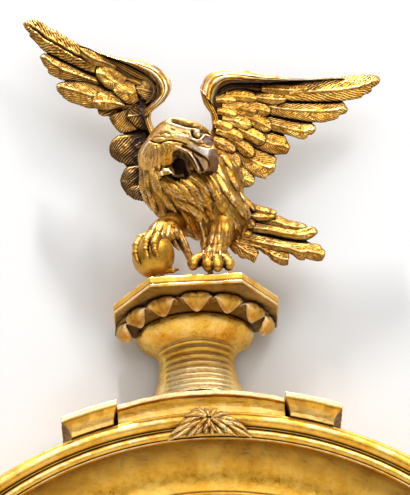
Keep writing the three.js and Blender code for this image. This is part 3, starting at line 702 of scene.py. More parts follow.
def metal(name, a, b, c, rough, met=1.0, scale=120.0, bump=0.0003):
    M = Nodes(name)
    n = M.noise(scale, 5, 0.62, 0.5)
    f = M.noise(scale * 6, 3, 0.6)
    geo = M.node("ShaderNodeNewGeometry")
    ao = M.node("ShaderNodeAmbientOcclusion", samples=6)
    ao.inputs["Distance"].default_value = 0.006
    col = M.ramp(n, [(0.35, a), (0.62, b)])
    # painted shade: ambient occlusion darkens the metal in hollows
    ao_shade = M.mapr(ao.outputs["AO"], 0.35, 0.85, 0.85, 0.0)
    col = M.mix(ao_shade, col, c)
    col = M.mix(M.mapr(geo.outputs["Pointiness"], 0.53, 0.6, 0.0, 0.5), col, tuple(min(1.0, 1.25 * x) for x in b))
    ro = M.math("ADD", M.mapr(n, 0.3, 0.7, rough - 0.06, rough + 0.12), M.math("MULTIPLY", ao_shade, 0.25), True)
    return M.done(col, ro, met, M.bump(f, 0.3, bump))


BRASS = metal("brass_old", (0.42, 0.25, 0.07), (0.80, 0.56, 0.22), (0.07, 0.035, 0.012), 0.26)
IRON = metal("iron_old", (0.035, 0.028, 0.024), (0.10, 0.085, 0.075), (0.05, 0.02, 0.01), 0.5, 0.85, 200.0, 0.0005)


def looking_glass():
    M = Nodes("convex_plate")
    n = M.noise(14, 5, 0.6, 0.5)
    sep = M.node("ShaderNodeSeparateXYZ")
    M.link(M.co, sep.inputs[0])
    rr = M.math("SQRT", M.math("ADD", M.math("POWER", M.math("ABSOLUTE", sep.outputs[0]), 2.0), M.math("POWER", M.math("ABSOLUTE", sep.outputs[2]), 2.0)))
    edge = M.mapr(M.math("ADD", rr, M.math("MULTIPLY", n, 0.05)), 0.276, 0.312)
    spots = M.math("MULTIPLY", M.mapr(M.noise(90, 4, 0.7), 0.66, 0.72), M.mapr(rr, 0.10, 0.27), True)
    k = M.math("MAXIMUM", M.math("MULTIPLY", edge, 0.75), M.math("MULTIPLY", spots, 0.7))
    col = M.mix(k, (0.88, 0.90, 0.89), (0.16, 0.13, 0.09))
    return M.done(col, M.mapr(k, 0, 1, 0.018, 0.35), 1.0, M.bump(M.noise(9, 2, 0.5), 0.05, 0.0004))


GLASS = looking_glass()


# ------------------------------------------------------------------ wings and tail: carved slab behind, feathers in front
def slab_volume(outline, d0, d1, h=1.1, seed=0.0, inset=2.2):
    """A rounded slab inside a picture outline, with gouge marks."""
    P = W([p[0] for p in outline], [p[1] for p in outline], 0.5 * (d0 + d1))
    X = np.stack([P[:, 0], P[:, 2]], 1)
    lo, hi = X.min(0) - 4, X.max(0) + 4
    v = Vol((lo[0], -d1 - 4, lo[1]), (hi[0], -d0 + 4, hi[1]), h)
    gx, gz = np.meshgrid(v.ax[0], v.ax[2], indexing="ij")
    q = np.stack([gx, gz], -1).reshape(-1, 2)
    dist = np.full(len(q), 1e9)
    inside = np.zeros(len(q), bool)
    for a, b in zip(X, np.roll(X, -1, 0)):
        ba = b - a
        t = np.clip(((q - a) @ ba) / (ba @ ba + 1e-9), 0, 1)
        dist = np.minimum(dist, np.linalg.norm(q - a - t[:, None] * ba, axis=1))
        c = ((a[1] > q[:, 1]) != (b[1] > q[:, 1]))
        with np.errstate(divide="ignore", invalid="ignore"):
            xi = (b[0] - a[0]) * (q[:, 1] - a[1]) / (b[1] - a[1]) + a[0]
        inside ^= c & (q[:, 0] < xi)
    s2 = np.where(inside, -dist, dist).reshape(gx.shape) + inset
    mid, half = -0.5 * (d0 + d1), 0.5 * (d1 - d0)
    y = v.ax[1]
    r = 3.0
    dx = s2[:, None, :] + r
    dy = (np.abs(y - mid) - half + r)[None, :, None]
    f = np.minimum(np.maximum(dx, dy), 0) + np.sqrt(np.maximum(dx, 0) ** 2 + np.maximum(dy, 0) ** 2) - r
    # long shallow gouge cuts on the back
    G = noise3(np.stack([gx, np.zeros_like(gx), gz], -1) * np.array([0.10, 1, 0.22]), 1.0, seed)
    H = noise3(np.stack([gx, np.zeros_like(gx), gz], -1), 0.30, seed + 2)
    f = f + (0.9 * G + 0.5 * H)[:, None, :] * (y > mid)[None, :, None]
    v.f = f.astype(np.float32)
    return v


def vol_piece(name, v, mat, nodes=(), body="root", slot="giltwood", dirt_and_shade=None, extra=None):
    V, Q = v.mesh()
    bk = Bucket()
    bk.add(V, [Q], hollow_dirt_and_shade(v, V) if dirt_and_shade is None else dirt_and_shade(V))
    if extra:
        extra(bk)
    return bk.build(name, mat, body, nodes, slot)


def strands(bk, A, B, d, rows, seed=3.0, twist=0.0, **kw):
    """A roll of long strands laid side by side between the edges A and B: the leading edge of a wing."""
    k = 1.0
    A, B = np.asarray(A, float), np.asarray(B, float)
    L = np.linalg.norm(np.diff(A, axis=0), axis=1).sum()
    n = int(L / (0.9 * k))
    a, b = crom(A, n), crom(B, n)
    m = int((9) * rows) | 1
    s = np.linspace(0, 1, n)[:, None]
    t = np.linspace(0, 1, m)[None, :]
    s2, t2 = np.broadcast_to(s, (n, m)), np.broadcast_to(t, (n, m))
    w = np.linalg.norm(b - a, axis=1)[:, None]
    wob = 0.35 * (noise1(s2 * L / 17, seed) - 0.5) + twist * s2
    q = t2 * rows + wob
    g = np.abs(np.sin(math.pi * q))
    cell = np.floor(q)
    brk = noise1(s2 * L / 11 + 5 * hash01(cell, seed), seed + 2)
    h = kw.get("crown", 6.0) * np.sin(math.pi * np.clip(t2, 0, 1)) ** 0.7 * smooth(0, 6, w)
    amp = kw.get("amp", 0.8)
    h = h - amp * (1 - g ** 0.6) * smooth(0, 0.06, s2) + 0.9 * amp * (brk - 0.5)
    de = np.minimum(t2, 1 - t2) * w
    h = h - 1.2 * np.exp(-de / 0.9)
    dl = np.interp(s[:, 0], np.linspace(0, 1, np.size(d)), np.atleast_1d(np.asarray(d, float)))[:, None]
    P = a[:, None, :] * (1 - t2[..., None]) + b[:, None, :] * t2[..., None]
    # painted shade, with some grime, in the grooves between strands and along the edges, plus painted shade from the
    # shade argument
    dirt_and_shade = 0.55 * (1 - g) ** 2.2 + 0.25 * np.exp(-de / 0.8) + kw.get("shade", 0.0)
    F3 = W(P[..., 0], P[..., 1], dl + h).reshape(-1, 3)
    bv = np.stack([W(P[:, j, 0], P[:, j, 1], dl[:, 0] - kw.get("thick", 5.0)) for j in (0, m // 2, m - 1)], 1).reshape(-1, 3)
    poly = np.r_[A, B[::-1]]
    area = np.sum(poly[:, 0] * np.roll(poly[:, 1], -1) - np.roll(poly[:, 0], -1) * poly[:, 1])
    flip = area > 0
    N = n * m
    F = [grid_faces(n, m, flip), grid_faces(n, 3, not flip, N)]
    i = np.arange(n - 1)
    e0 = np.stack([i * m, N + i * 3, N + (i + 1) * 3, (i + 1) * m], -1)
    e1 = np.stack([i * m + m - 1, (i + 1) * m + m - 1, N + (i + 1) * 3 + 2, N + i * 3 + 2], -1)
    F += [e0[:, ::-1] if flip else e0, e1[:, ::-1] if flip else e1]
    for r in (0, n - 1):
        loop = np.r_[r * m + np.arange(m), N + r * 3 + np.array([2, 1, 0])]
        loop = loop if (r == 0) != flip else loop[::-1]
        F.append(np.stack([np.full(len(loop) - 2, loop[0]), loop[1:-1], loop[2:]], -1)[:, ::-1])
    # painted highlight, with worn leaf, on the crests of the strands
    rb = kw.get("rub", 0.0) * smooth(0.45, 0.9, g) * smooth(0.22, 0.55, noise1(s2 * L / 9 + cell * 3.1, seed + 6))
    bk.add(np.vstack([F3, bv]), F, np.concatenate([dirt_and_shade.ravel(), np.full(len(bv), 0.4)]), np.concatenate([rb.ravel(), np.zeros(len(bv))]))


LEFT_OUT = [(23, 24), (28, 21), (32, 19.5), (41, 21.5), (50, 28), (59, 33), (68, 38.5), (77, 43), (85, 46.5), (94, 51), (110, 55.5), (130, 59.5),
            (148, 63.5), (161, 70), (170, 79), (171, 91), (166, 101), (155, 110), (151, 119), (155, 131), (165, 150), (165, 200), (155, 219), (149, 205),
            (140, 201), (130, 197), (123, 190), (120, 180), (124.5, 169), (120, 163), (111, 157), (109, 147), (113, 139), (121, 134.5), (115, 128), (109, 120),
            (100, 114), (95, 108), (80, 105.5), (65, 99), (57, 91), (62, 81), (50, 75), (44, 66), (41, 57), (45, 52), (35, 42), (30, 33.5)]


def wing_left():
    bk = Bucket()
    # flight feathers, outermost first
    blade(bk, [(99, 53), (90, 49.5), (85, 46.5), (80, 45), (77, 43), (73, 40.5), (68, 38.5), (66, 36), (62, 34.5), (59, 33), (57, 30.5), (52, 29), (50, 28),
               (45, 24.5), (41, 21.5), (37, 20), (32, 19.5), (28, 21), (25, 21.5), (23, 24)],
          [(94, 74), (85, 71), (78, 67.5), (70, 64), (62, 60), (54, 55.8), (46, 52.5), (43, 50.5), (40, 48), (38, 45), (35, 42), (32, 39), (29, 36), (30, 33.5),
           (27, 31), (24.5, 28), (23, 24)], (55.5, 54, 53, 52), 1.3, double=True, rh=1.35, rw=1.25, sp=3.7, amp=1.15, slope=1.15, crown=3.2,
          tr=(0.52, 0.53, 0.50, 0.5, 0.55), ser=0.4, shade=0.1, tilt=-2.5)
    blade(bk, [(95, 77), (85, 73), (78, 69.5), (70, 65.5), (62, 61.8), (55, 58), (48, 54.2), (45, 53), (41.5, 54), (39.5, 57)],
          [(100, 86), (92, 84), (82, 82), (72, 80.8), (62, 80.5), (56, 77.5), (50, 75), (47.5, 72), (48, 69.5), (44, 66), (41, 60), (39.5, 57)],
          (54, 53, 51.5, 50.5), 2.1, rh=0.8, rw=0.9, sp=3.2, amp=0.95, slope=1.5, crown=2.6, tr=(0.5, 0.45, 0.35, 0.3), ser=0.5, tilt=-1.5)
    blade(bk, [(104, 88), (96, 84), (88, 82), (78, 81), (70, 81), (63, 81.5), (58, 83), (56, 86)],
          [(104, 108), (96, 108.6), (88, 108.5), (80, 105.5), (75, 104), (69, 102), (65, 99), (62, 97), (63, 96), (60, 94.5), (57, 91), (56, 86)],
          (53.5, 52.5, 51.5, 50), 3.7, rh=0.7, rw=0.9, sp=3.3, amp=0.9, slope=1.5, crown=3.0, tr=(0.5, 0.48, 0.4, 0.35), ser=0.5, tilt=-1.0)
    A, B = quill([(124, 101), (112, 108.5), (97.5, 111.5)], 6.5, 0.35, 0.8)
    blade(bk, A, B, (52.5, 51), 4.1, crown=2.2)
    # a little painted cast shade on this feather
    blade(bk, [(128, 106), (120, 110), (114, 112.5), (110.5, 115), (109, 118.5)], [(137, 130), (130, 132.6), (121.5, 134), (116.5, 130), (112, 124), (109, 118.5)],
          (54, 53, 52), 5.2, rh=0.0, sp=3.0, amp=0.85, slope=1.1, crown=3.4, tr=0.08, ser=0.9, dim=0.06)
    # inner flight feathers, darkened as painted shade
    blade(bk, [(146, 133), (134, 133), (124, 134.2), (117, 136), (112, 140), (109.3, 146), (109.3, 150)],
          [(146, 168), (134, 167), (126, 164.5), (120, 163), (115, 160), (111, 156.5), (109.5, 153), (109.3, 150)], (52, 53, 53), 6.6, rh=0.0, sp=3.2,
          amp=1.1, slope=0.9, crown=4.6, tr=0.06, ser=1.2, shade=0.9, rub=0.3, dim=0.36)
    blade(bk, [(148, 163), (137, 164), (128, 166), (124, 169.5), (121.5, 175), (120, 180)], [(148, 194), (138, 193), (129, 194), (124, 191), (120.8, 185.5), (120, 180)],
          (51, 52, 52), 7.4, rh=0.0, sp=3.0, amp=1.1, slope=0.9, crown=3.8, tr=0.06, shade=0.95, ser=1.2, rub=0.3, dim=0.42)
    blade(bk, [(156, 182), (146, 184), (136, 185), (129, 187.5), (124, 190.5)], [(157, 205), (149, 203.5), (140, 201), (134, 200), (130, 197), (126.5, 195), (124, 190.5)],
          (50, 51, 51), 8.3, rh=0.0, sp=2.9, amp=1.1, slope=0.9, crown=3.4, tr=0.06, shade=0.85, ser=1.2, rub=0.3, dim=0.36)
    # second row
    blade(bk, [(116, 62), (108, 57), (100, 53), (92, 50), (85, 47.3), (80.5, 46.3), (78.8, 48)],
          [(116, 72), (108, 69), (100, 67), (93, 66.5), (87.5, 63), (82, 56.5), (79.5, 51.5), (78.8, 48)], (60, 59, 57.5), 9.1, rh=0.6, sp=2.9, amp=0.8,
          slope=2.2, crown=2.4, tr=0.5, shade=0.2, ser=0.3)
    blade(bk, [(128, 77), (119, 70.5), (111, 65), (105, 63.2), (99.5, 64.8), (96.3, 68.5), (95.3, 73)],
          [(118, 93), (110, 90), (104.5, 86.8), (99.5, 81.5), (96.5, 77.5), (95.3, 73)], (60, 59, 57.5), 10.2, rh=0.35, sp=3.1, amp=0.75, slope=2.0, crown=3.0,
          tr=0.55, ser=0.3)
    blade(bk, [(126, 103), (119, 96.5), (112, 91.5), (105, 90.3), (98.5, 92.5), (93.3, 97), (91.6, 102)],
          [(124, 108), (116, 109), (108, 110.6), (101, 110.3), (95.5, 108.5), (92.3, 105.5), (91.6, 102)], (58.5, 57.5, 56.5), 11.7, rh=0.5, sp=3.1, amp=0.9,
          slope=1.7, crown=3.0, tr=0.55, ser=0.3)
    A, B = quill([(137, 104), (128, 105.5), (117.5, 105)], 4.6, 0.45, 0.8)
    blade(bk, A, B, (57, 56), 12.4, crown=2.0)
    # third row
    # painted cast shade on this feather
    blade(bk, [(146, 100), (139.5, 98.5), (133, 103), (128.5, 109), (126.2, 114), (126, 117)], [(149, 131), (141, 129.5), (135, 126.5), (130.5, 122), (127, 119), (126, 117)],
          (58, 57.5, 57), 13.6, rh=0.4, sp=3.4, amp=0.9, slope=0.9, crown=3.0, shade=0.75, ser=0.2, dim=0.28)
    blade(bk, [(134, 83), (128, 80.5), (122, 81), (116.5, 83.8), (113, 87), (112.3, 90)], [(139, 101), (134, 105), (127, 104), (121, 100), (116, 95.5), (113.2, 93), (112.3, 90)],
          (62, 61, 59.5), 14.8, rh=0.25, sp=3.4, amp=0.5, slope=1.3, crown=3.2, tr=0.5, ser=0.2)
    A, B = quill([(141, 84), (134, 81.5), (126.5, 78.5)], 4.0, 0.5, 0.8)
    blade(bk, A, B, (62.5, 61), 15.5, crown=1.8, amp=0.5)
    # painted cast shade on this feather
    blade(bk, [(156, 82), (149, 79), (142, 79.5), (137.5, 82.5), (134.7, 88)], [(156, 103), (149, 103), (142, 99), (137, 95), (135, 91.5), (134.7, 88)],
          (61, 61.5, 60.5), 16.3, rh=0.3, sp=3.2, amp=0.75, slope=1.4, crown=2.2, shade=0.6, ser=0.2, dim=0.15)
    # painted shade: the whole left wing is made darker
    bk.a = [np.clip(x + 0.15, 0, 1) for x in bk.a]
    # painted shade in the hollow under the leading edge, then the leading edge itself with painted highlights, curling
    # down round the wrist
    strands(bk, [(92, 50.5), (102, 55), (112, 58.8), (122, 62), (131, 66), (140, 70.5), (148, 75.5), (154, 82), (157, 89), (155, 96), (150, 102)],
            [(92, 53), (102, 60), (112, 64.5), (122, 70), (130, 75), (138, 79), (145, 81), (150, 86), (151.5, 92), (149, 98), (144, 104)], (58, 60.5, 62, 61), 3, 17.0,
            crown=1.6, amp=0.9, thick=7, shade=0.45)
    strands(bk, [(80, 44.8), (88, 47.6), (94, 50.6), (101, 52.8), (110, 55.2), (120, 57.7), (130, 59.2), (140, 60.7), (148, 63.2), (155, 65.7), (161, 69.7), (166, 74.3),
                 (170, 79.3), (171.5, 85), (171, 91), (168, 96.3), (164.5, 101.5), (159.5, 106), (155, 109.6), (151, 113)],
            [(81, 46.2), (88, 49), (96, 52.6), (104, 56), (112, 58.8), (120, 61.6), (128, 64.6), (136, 68.2), (143, 71.6), (149.5, 76), (155, 81.5), (158.5, 87.5),
             (159, 93), (156.5, 98), (153, 102), (149.5, 105.3), (146.5, 108), (144.3, 110.5), (143, 113.5), (142.5, 117)],
            (58, 60, 62, 64, 65, 64, 61), 3, 18.5, crown=6.0, amp=1.3, thick=9, twist=-0.9, rub=0.95)
    strands(bk, [(152.5, 110), (151, 116), (151.2, 121), (153, 126), (155.5, 132)], [(143, 109), (143, 116), (144.5, 122), (147, 129), (150.5, 136)], (59, 60, 61), 3, 19.2,
            crown=3.0, amp=1.1, thick=8, rub=0.4)
    v = slab_volume(LEFT_OUT, 43.5, 48.0, seed=1.0)
    V, Q = v.mesh()
    # the slab behind the feathers is painted dark as shade
    bk.add(V, [Q], np.full(len(V), 0.55))
    return bk.build("wing_left_carving", GOLD, "root", ("wing_left",), "giltwood")


RIGHT_OUT = [(211.5, 124), (210, 112), (204, 104), (200.5, 92), (203, 81), (209, 73.5), (220, 70.5), (250, 71), (275, 75), (300, 78.5), (332, 77.5), (362, 74),
             (375, 75), (380.5, 80), (371, 90), (361, 98), (345, 100.5), (348.5, 109), (339, 117), (325, 121.5), (315, 124), (315, 132), (305, 139), (287, 135.5),
             (290.5, 147), (284, 154.5), (277, 157), (275, 170), (266, 179), (255, 179), (250, 187), (242, 189.5), (225, 200), (200, 200), (200, 150)]


def wing_right():
    bk = Bucket()
    blade(bk, [(288, 82), (296, 80), (303, 79), (315, 79), (320, 78), (332, 77.5), (336, 78), (343, 76), (346, 76.6), (350, 75), (356, 75.2), (362, 74), (366, 75),
               (369, 74.5), (375, 75), (379, 77), (380.5, 80)],
          [(284, 100), (292, 101.2), (305, 101.4), (318, 101.6), (330, 101.4), (343, 101.2), (349, 100.2), (355, 99.5), (361, 98), (364, 95), (368, 94), (372, 91),
           (371, 88.5), (375, 86.5), (379, 83.5), (380.5, 80)], (55.5, 54.5, 53.5, 52.5), 21.4, rh=1.0, rw=0.9, sp=4.0, amp=1.15, slope=1.5, crown=3.0,
          tr=(0.58, 0.55, 0.52, 0.5, 0.5), ser=0.4, tilt=1.0)
    blade(bk, [(262, 99), (275, 101), (288, 102.4), (305, 103), (320, 103), (335, 102.6), (344, 102.2), (346, 106), (348.5, 109)],
          [(262, 113), (275, 116), (290, 118.6), (303, 121), (315, 122.6), (323, 122.8), (330, 121), (335, 120), (338.5, 118), (339, 115.5), (345, 114), (347, 112), (348.5, 109)],
          (55, 54, 52.5, 51.5), 22.2, rh=0.9, rw=0.9, sp=3.6, amp=1.0, slope=1.7, crown=2.8, tr=(0.45, 0.42, 0.4, 0.42, 0.5), ser=0.5, tilt=1.0)
    blade(bk, [(258, 112), (268, 115.5), (280, 118.6), (292, 121.5), (305, 123), (312, 123.4), (315, 125), (316, 129)],
          [(255, 127), (266, 129.5), (275, 131.6), (287, 135), (295, 137.5), (301, 139.5), (305, 139.5), (307.5, 137.5), (308, 135), (312, 135), (315, 132), (316, 129)],
          (54.5, 53.5, 52), 23.7, rh=0.8, sp=3.4, amp=0.95, slope=1.7, crown=2.8, tr=(0.5, 0.5, 0.52), ser=0.4, tilt=1.0)
    blade(bk, [(250, 126), (260, 128.6), (270, 131.6), (279, 134.6), (285.5, 136), (287, 140), (289, 144), (290.5, 147)],
          [(244, 143), (253, 146.6), (262, 150.6), (270, 153.6), (277, 155), (281, 154.6), (284, 154.5), (287, 154), (289, 151), (290.5, 147)], (54, 53, 52), 24.1,
          rh=0.7, sp=3.3, amp=0.95, slope=1.6, crown=2.6, ser=0.5, tilt=1.0)
    blade(bk, [(243, 142), (252, 146), (261, 150.6), (270, 154.4), (276, 156.5), (277, 159), (275.5, 163), (276, 167)],
          [(232, 157), (239, 163), (245, 169), (252, 174.6), (258, 177.4), (263, 178.6), (266, 179.5), (267, 176.5), (270, 175), (274, 172), (276, 167)],
          (54, 53, 52), 25.6, rh=0.6, sp=3.3, amp=1.0, slope=1.6, crown=2.6, ser=0.5, tilt=1.0)
    blade(bk, [(232, 155), (240, 161), (247, 168), (253, 174.5), (255, 178), (255, 181)], [(218, 163), (224, 171), (231, 179), (238, 185), (243, 188), (247, 187.5), (250, 187), (253, 185), (255, 181)],
          (55, 54, 53), 26.8, rh=0.6, sp=3.2, amp=1.0, slope=1.5, crown=2.6, ser=0.5, tilt=1.0)
    blade(bk, [(222, 154), (229, 163), (236, 172), (242, 181), (244, 186)], [(208, 168), (214, 177), (222, 185), (231, 191), (239, 191.5), (244, 186)], (57, 56, 55), 27.9,
          rh=0.5, sp=3.1, amp=0.9, slope=1.5, crown=2.6, ser=0.5)
    # coverts, outer row
    rows = [
        ([(262, 88), (276, 89), (292, 90), (309.5, 88.5)], 6.6, (58, 56.5), 31.0), ([(256, 97), (270, 98.5), (287, 99)], 6.2, (58, 56.5), 32.0),
        ([(244, 104), (256, 108), (271, 112)], 7.0, (58.5, 57), 33.0), ([(244, 116), (257, 121), (272, 129)], 7.6, (58, 56.5), 34.0),
        ([(238, 128), (250, 134), (266, 142)], 7.2, (58, 56.5), 35.0), ([(228, 138), (240, 145), (254, 156)], 7.0, (58, 57), 36.0),
        ([(218, 146), (229, 154), (240, 167)], 6.6, (59, 58), 37.0),
    ]
    for sp, hw, d, sd in rows:
        A, B = quill(sp, hw, 0.32, 0.78)
        blade(bk, A, B, d, sd, rh=0.45, sp=3.0, amp=0.85, crown=2.6, slope=1.5, shade=0.25, ser=0.4)
    # inner row
    rows = [
        ([(226, 96), (241, 96), (258, 99)], 6.4, (60.5, 59), 41.0), ([(222, 107), (238, 108), (257, 112)], 8.0, (61, 59), 42.0),
        ([(222, 119), (236, 121), (252, 126)], 7.2, (61, 59), 43.0), ([(216, 130), (230, 133), (244, 139)], 6.6, (61, 59), 44.0),
        ([(213, 139), (223, 144), (236, 152)], 6.2, (61, 59.5), 45.0), ([(212, 150), (220, 157), (228, 168)], 5.6, (62, 60.5), 46.0),
    ]
    for sp, hw, d, sd in rows:
        A, B = quill(sp, hw, 0.36, 0.8)
        blade(bk, A, B, d, sd, rh=0.3, sp=3.2, amp=0.7, crown=3.0, slope=1.4, shade=0.2, ser=0.3)
    rows = [([(216, 100), (225, 99), (237, 101)], 5.6, (62.5, 61), 51.0), ([(217, 111), (226, 112), (238, 116)], 5.4, (62.5, 61), 52.0),
            ([(213, 123), (222, 125), (233, 129)], 5.4, (62.5, 61), 53.0)]
    for sp, hw, d, sd in rows:
        A, B = quill(sp, hw, 0.4, 0.8)
        blade(bk, A, B, d, sd, rh=0.2, sp=3.0, amp=0.6, crown=2.6, slope=1.3, shade=0.25, ser=0.2)
    # painted shade in the hollow, the leading edge with painted highlights, and the strand down the inner side
    strands(bk, [(318, 79.5), (300, 80.5), (285, 81.5), (270, 82), (255, 82), (240, 82), (229, 83), (221, 87), (217, 93)],
            [(316, 82), (300, 84), (287, 88), (273, 92), (258, 92), (243, 89), (232, 90), (225, 94), (220, 99)], (54, 55, 56, 57.5, 59), 2, 27.0, crown=0.8, amp=0.8,
            thick=7, shade=0.8)
    strands(bk, [(345, 77.5), (331, 78.2), (320, 78.2), (300, 78.6), (290, 77.6), (281, 76.6), (275, 75.1), (265, 74.6), (258, 73.1), (250, 71.1), (240, 70.1), (230, 70),
                 (220, 70.6), (214, 71.6), (209, 73.6), (205, 77.1), (203, 81), (201.6, 85), (200.4, 89)],
            [(345, 78.6), (331, 79.4), (316, 80.4), (300, 81), (288, 81.2), (278, 81.2), (270, 81.2), (260, 81.2), (252, 81), (245, 80.8), (238, 80.6), (231, 80.8), (225, 82),
             (220.5, 85), (217.5, 89), (215.5, 93), (214, 97), (213.5, 101), (214, 106)], (55, 57, 60, 63, 65, 65, 63), 3, 28.5, crown=6.0, amp=1.3, thick=9, twist=0.7, rub=0.9)
    strands(bk, [(201.5, 84), (200.2, 88), (200.5, 92), (202, 98), (204, 104), (207, 109), (210, 113), (211.3, 118), (212, 125)],
            [(214, 90), (212.5, 95), (213, 101), (214, 106), (216, 110), (218, 114), (219.5, 118), (220, 123), (219, 130)], (62, 62, 61, 59), 3, 29.2, crown=3.6, amp=1.1,
            thick=9, shade=0.1)
    v = slab_volume(RIGHT_OUT, 43.5, 48.5, seed=5.0)
    V, Q = v.mesh()
    # the slab behind the feathers is painted dark as shade
    bk.add(V, [Q], np.full(len(V), 0.55))
    return bk.build("wing_right_carving", GOLD, "root", ("wing_right",), "giltwood")


TAIL_OUT = [(232, 196), (242, 189.5), (254, 204), (266, 208.5), (276, 213), (295, 221), (307, 227), (317.5, 230), (315, 236), (309, 240), (320, 245), (325, 252),
            (322, 261), (305, 259), (290, 254), (288, 265), (280, 265), (268, 256), (258, 250), (256, 260), (246, 258.5), (237, 254), (229, 246), (215, 232), (212, 210)]


def tail():
    bk = Bucket()
    blade(bk, [(240, 206), (255, 210), (268, 213), (281, 216), (287, 219.5), (295, 221), (301, 222.5), (306, 224.5), (308, 227.5)],
          [(240, 220), (255, 222), (270, 226), (283, 230), (296, 232.5), (304, 231), (308, 227.5)], (52, 50.5, 49), 61.0, rh=0.7, sp=3.4, amp=1.0, slope=2.0, crown=2.4,
          ser=0.4, shade=0.3)
    blade(bk, [(244, 220), (258, 222.6), (272, 225), (286, 228), (298, 229.6), (307, 227.5), (311, 226), (315, 227.5), (317.5, 230), (318, 233)],
          [(242, 233), (256, 233), (270, 234.6), (284, 238), (297, 240), (305, 240.5), (309, 239.5), (312, 238), (315, 236), (318, 233)], (53.5, 52, 50.5), 62.3, rh=0.8,
          sp=3.5, amp=1.0, slope=2.0, crown=2.6, ser=0.4, shade=0.2)
    blade(bk, [(238, 228), (252, 233), (268, 237), (284, 240.5), (298, 242.6), (310, 243), (315, 243.5), (320, 244.5), (322, 248), (325, 250.5), (325.5, 254)],
          [(234, 243), (248, 246.6), (262, 249.6), (276, 252), (288, 253), (293, 255.5), (297, 259), (300.5, 260.5), (305, 260.5), (305.5, 258.5), (310, 260), (317, 261.5),
           (322, 261), (324, 258), (325.5, 254)], (54, 52.5, 51), 63.7, rh=0.9, sp=3.5, amp=1.05, slope=1.9, crown=2.8, ser=0.3, shade=0.15)
    blade(bk, [(238, 236), (250, 240.6), (262, 245), (274, 249.6), (282, 251.6), (289, 253), (289.5, 257), (289, 260)],
          [(232, 246), (243, 248), (251, 248.6), (257.5, 249), (264, 254), (268, 256), (271, 260), (275, 262.5), (280, 265), (284, 266), (288, 265), (289, 260)],
          (55, 53.5, 52), 64.4, rh=0.8, sp=3.4, amp=1.0, slope=1.9, crown=2.6, ser=0.3, shade=0.2)
    blade(bk, [(230, 229), (238, 235), (247, 241.6), (254, 246.6), (258.5, 250), (259, 253), (257, 257)],
          [(218, 236), (224, 242), (229, 247), (231, 250), (234.5, 254), (237, 254), (239, 257), (243, 259), (246, 258.5), (251, 261), (254, 263.5), (256, 260.5), (257, 257)],
          (57, 55, 53), 65.2, rh=0.7, sp=3.3, amp=1.0, slope=1.6, crown=2.6, ser=0.3, shade=0.2)
    # small feathers over the root of the tail
    for sp, hw, d, sd in [
        ([(240, 199), (249, 206), (262, 210.5), (277, 213)], 4.4, (56, 53), 71.0), ([(232, 205), (243, 213), (262, 217), (276, 216)], 4.2, (57, 54), 72.0),
        ([(226, 212), (238, 220), (256, 225)], 6.2, (58, 55.5), 73.0), ([(222, 222), (234, 229), (252, 235)], 6.0, (59, 56), 74.0),
        ([(236, 196), (246, 202), (255, 211)], 4.0, (60, 57.5), 75.0), ([(230, 200), (240, 207), (247, 213)], 3.8, (61, 58.5), 76.0),
        ([(228, 216), (240, 221), (253, 228)], 4.6, (61, 58.5), 77.0), ([(218, 226), (228, 234), (240, 244)], 5.2, (60, 57), 78.0),
    ]:
        A, B = quill(sp, hw, 0.35, 0.8)
        blade(bk, A, B, d, sd, rh=0.4, sp=2.9, amp=0.8, crown=2.4, slope=1.7, shade=0.2, ser=0.4)
    bk.a = [np.clip(x + 0.09, 0, 1) for x in bk.a]
    v = slab_volume(TAIL_OUT, 40.5, 46.0, seed=9.0)
    V, Q = v.mesh()
    # the slab behind the feathers is painted dark as shade
    bk.add(V, [Q], np.full(len(V), 0.55))
    return bk.build("eagle_tail_carving", GOLD, "root", ("eagle_tail",), "giltwood")


wing_left()
wing_right()
tail()


# ------------------------------------------------------------------ trunk, neck and head
def pxc(v, pts, k=2.0, sub=False):
    """Chain through (px, py, d, r)."""
    P = np.asarray(pts, float)
    Q = np.concatenate([W(P[:, 0], P[:, 1], P[:, 2]), P[:, 3:4]], 1)
    v.chain(Q, k, sub)


def on(v0, pts, k=2.0, sub=False, v=None):
    """Chain through (px, py, offset from the surface of v0, r)."""
    P = np.asarray(pts, float)
    c = P
    if len(P) > 1:
        c = crom(P, 3 * (len(P) - 1) + 1)
    d = v0.depth(c[:, 0], c[:, 1])
    if np.isnan(d).all():
        return
    i = np.arange(len(d))
    d = np.interp(i, i[~np.isnan(d)], d[~np.isnan(d)])
    Q = np.concatenate([W(c[:, 0], c[:, 1], d + c[:, 2]), c[:, 3:4]], 1)
    (v or v0).chain(Q, k, sub)


def base_body(h):
    lo, hi = (-76, -150, 540), (62, -14, 722)
    v = Vol(lo, hi, h)
    def e(px, py, d, r, k=14):
        v.ell(W(px, py, d), r, k)
    e(170, 160, 70, (31, 27, 31))
    e(179, 186, 71, (38, 33, 33))
    e(201, 204, 64, (36, 32, 34))
    e(222, 218, 58, (28, 25, 27))
    e(216, 182, 58, (27, 24, 28))
    e(205, 172, 60, (24, 26, 20))
    return v


def base_head(h):
    v = Vol((-66, -152, 618), (32, -58, 722), h)
    v.ell(W(177, 144, 90), (29, 27, 27), 10)
    v.ell(W(166, 160, 82), (28, 27, 24), 12)
    v.ell(W(192, 141, 97), (18, 17, 15), 9)
    return v


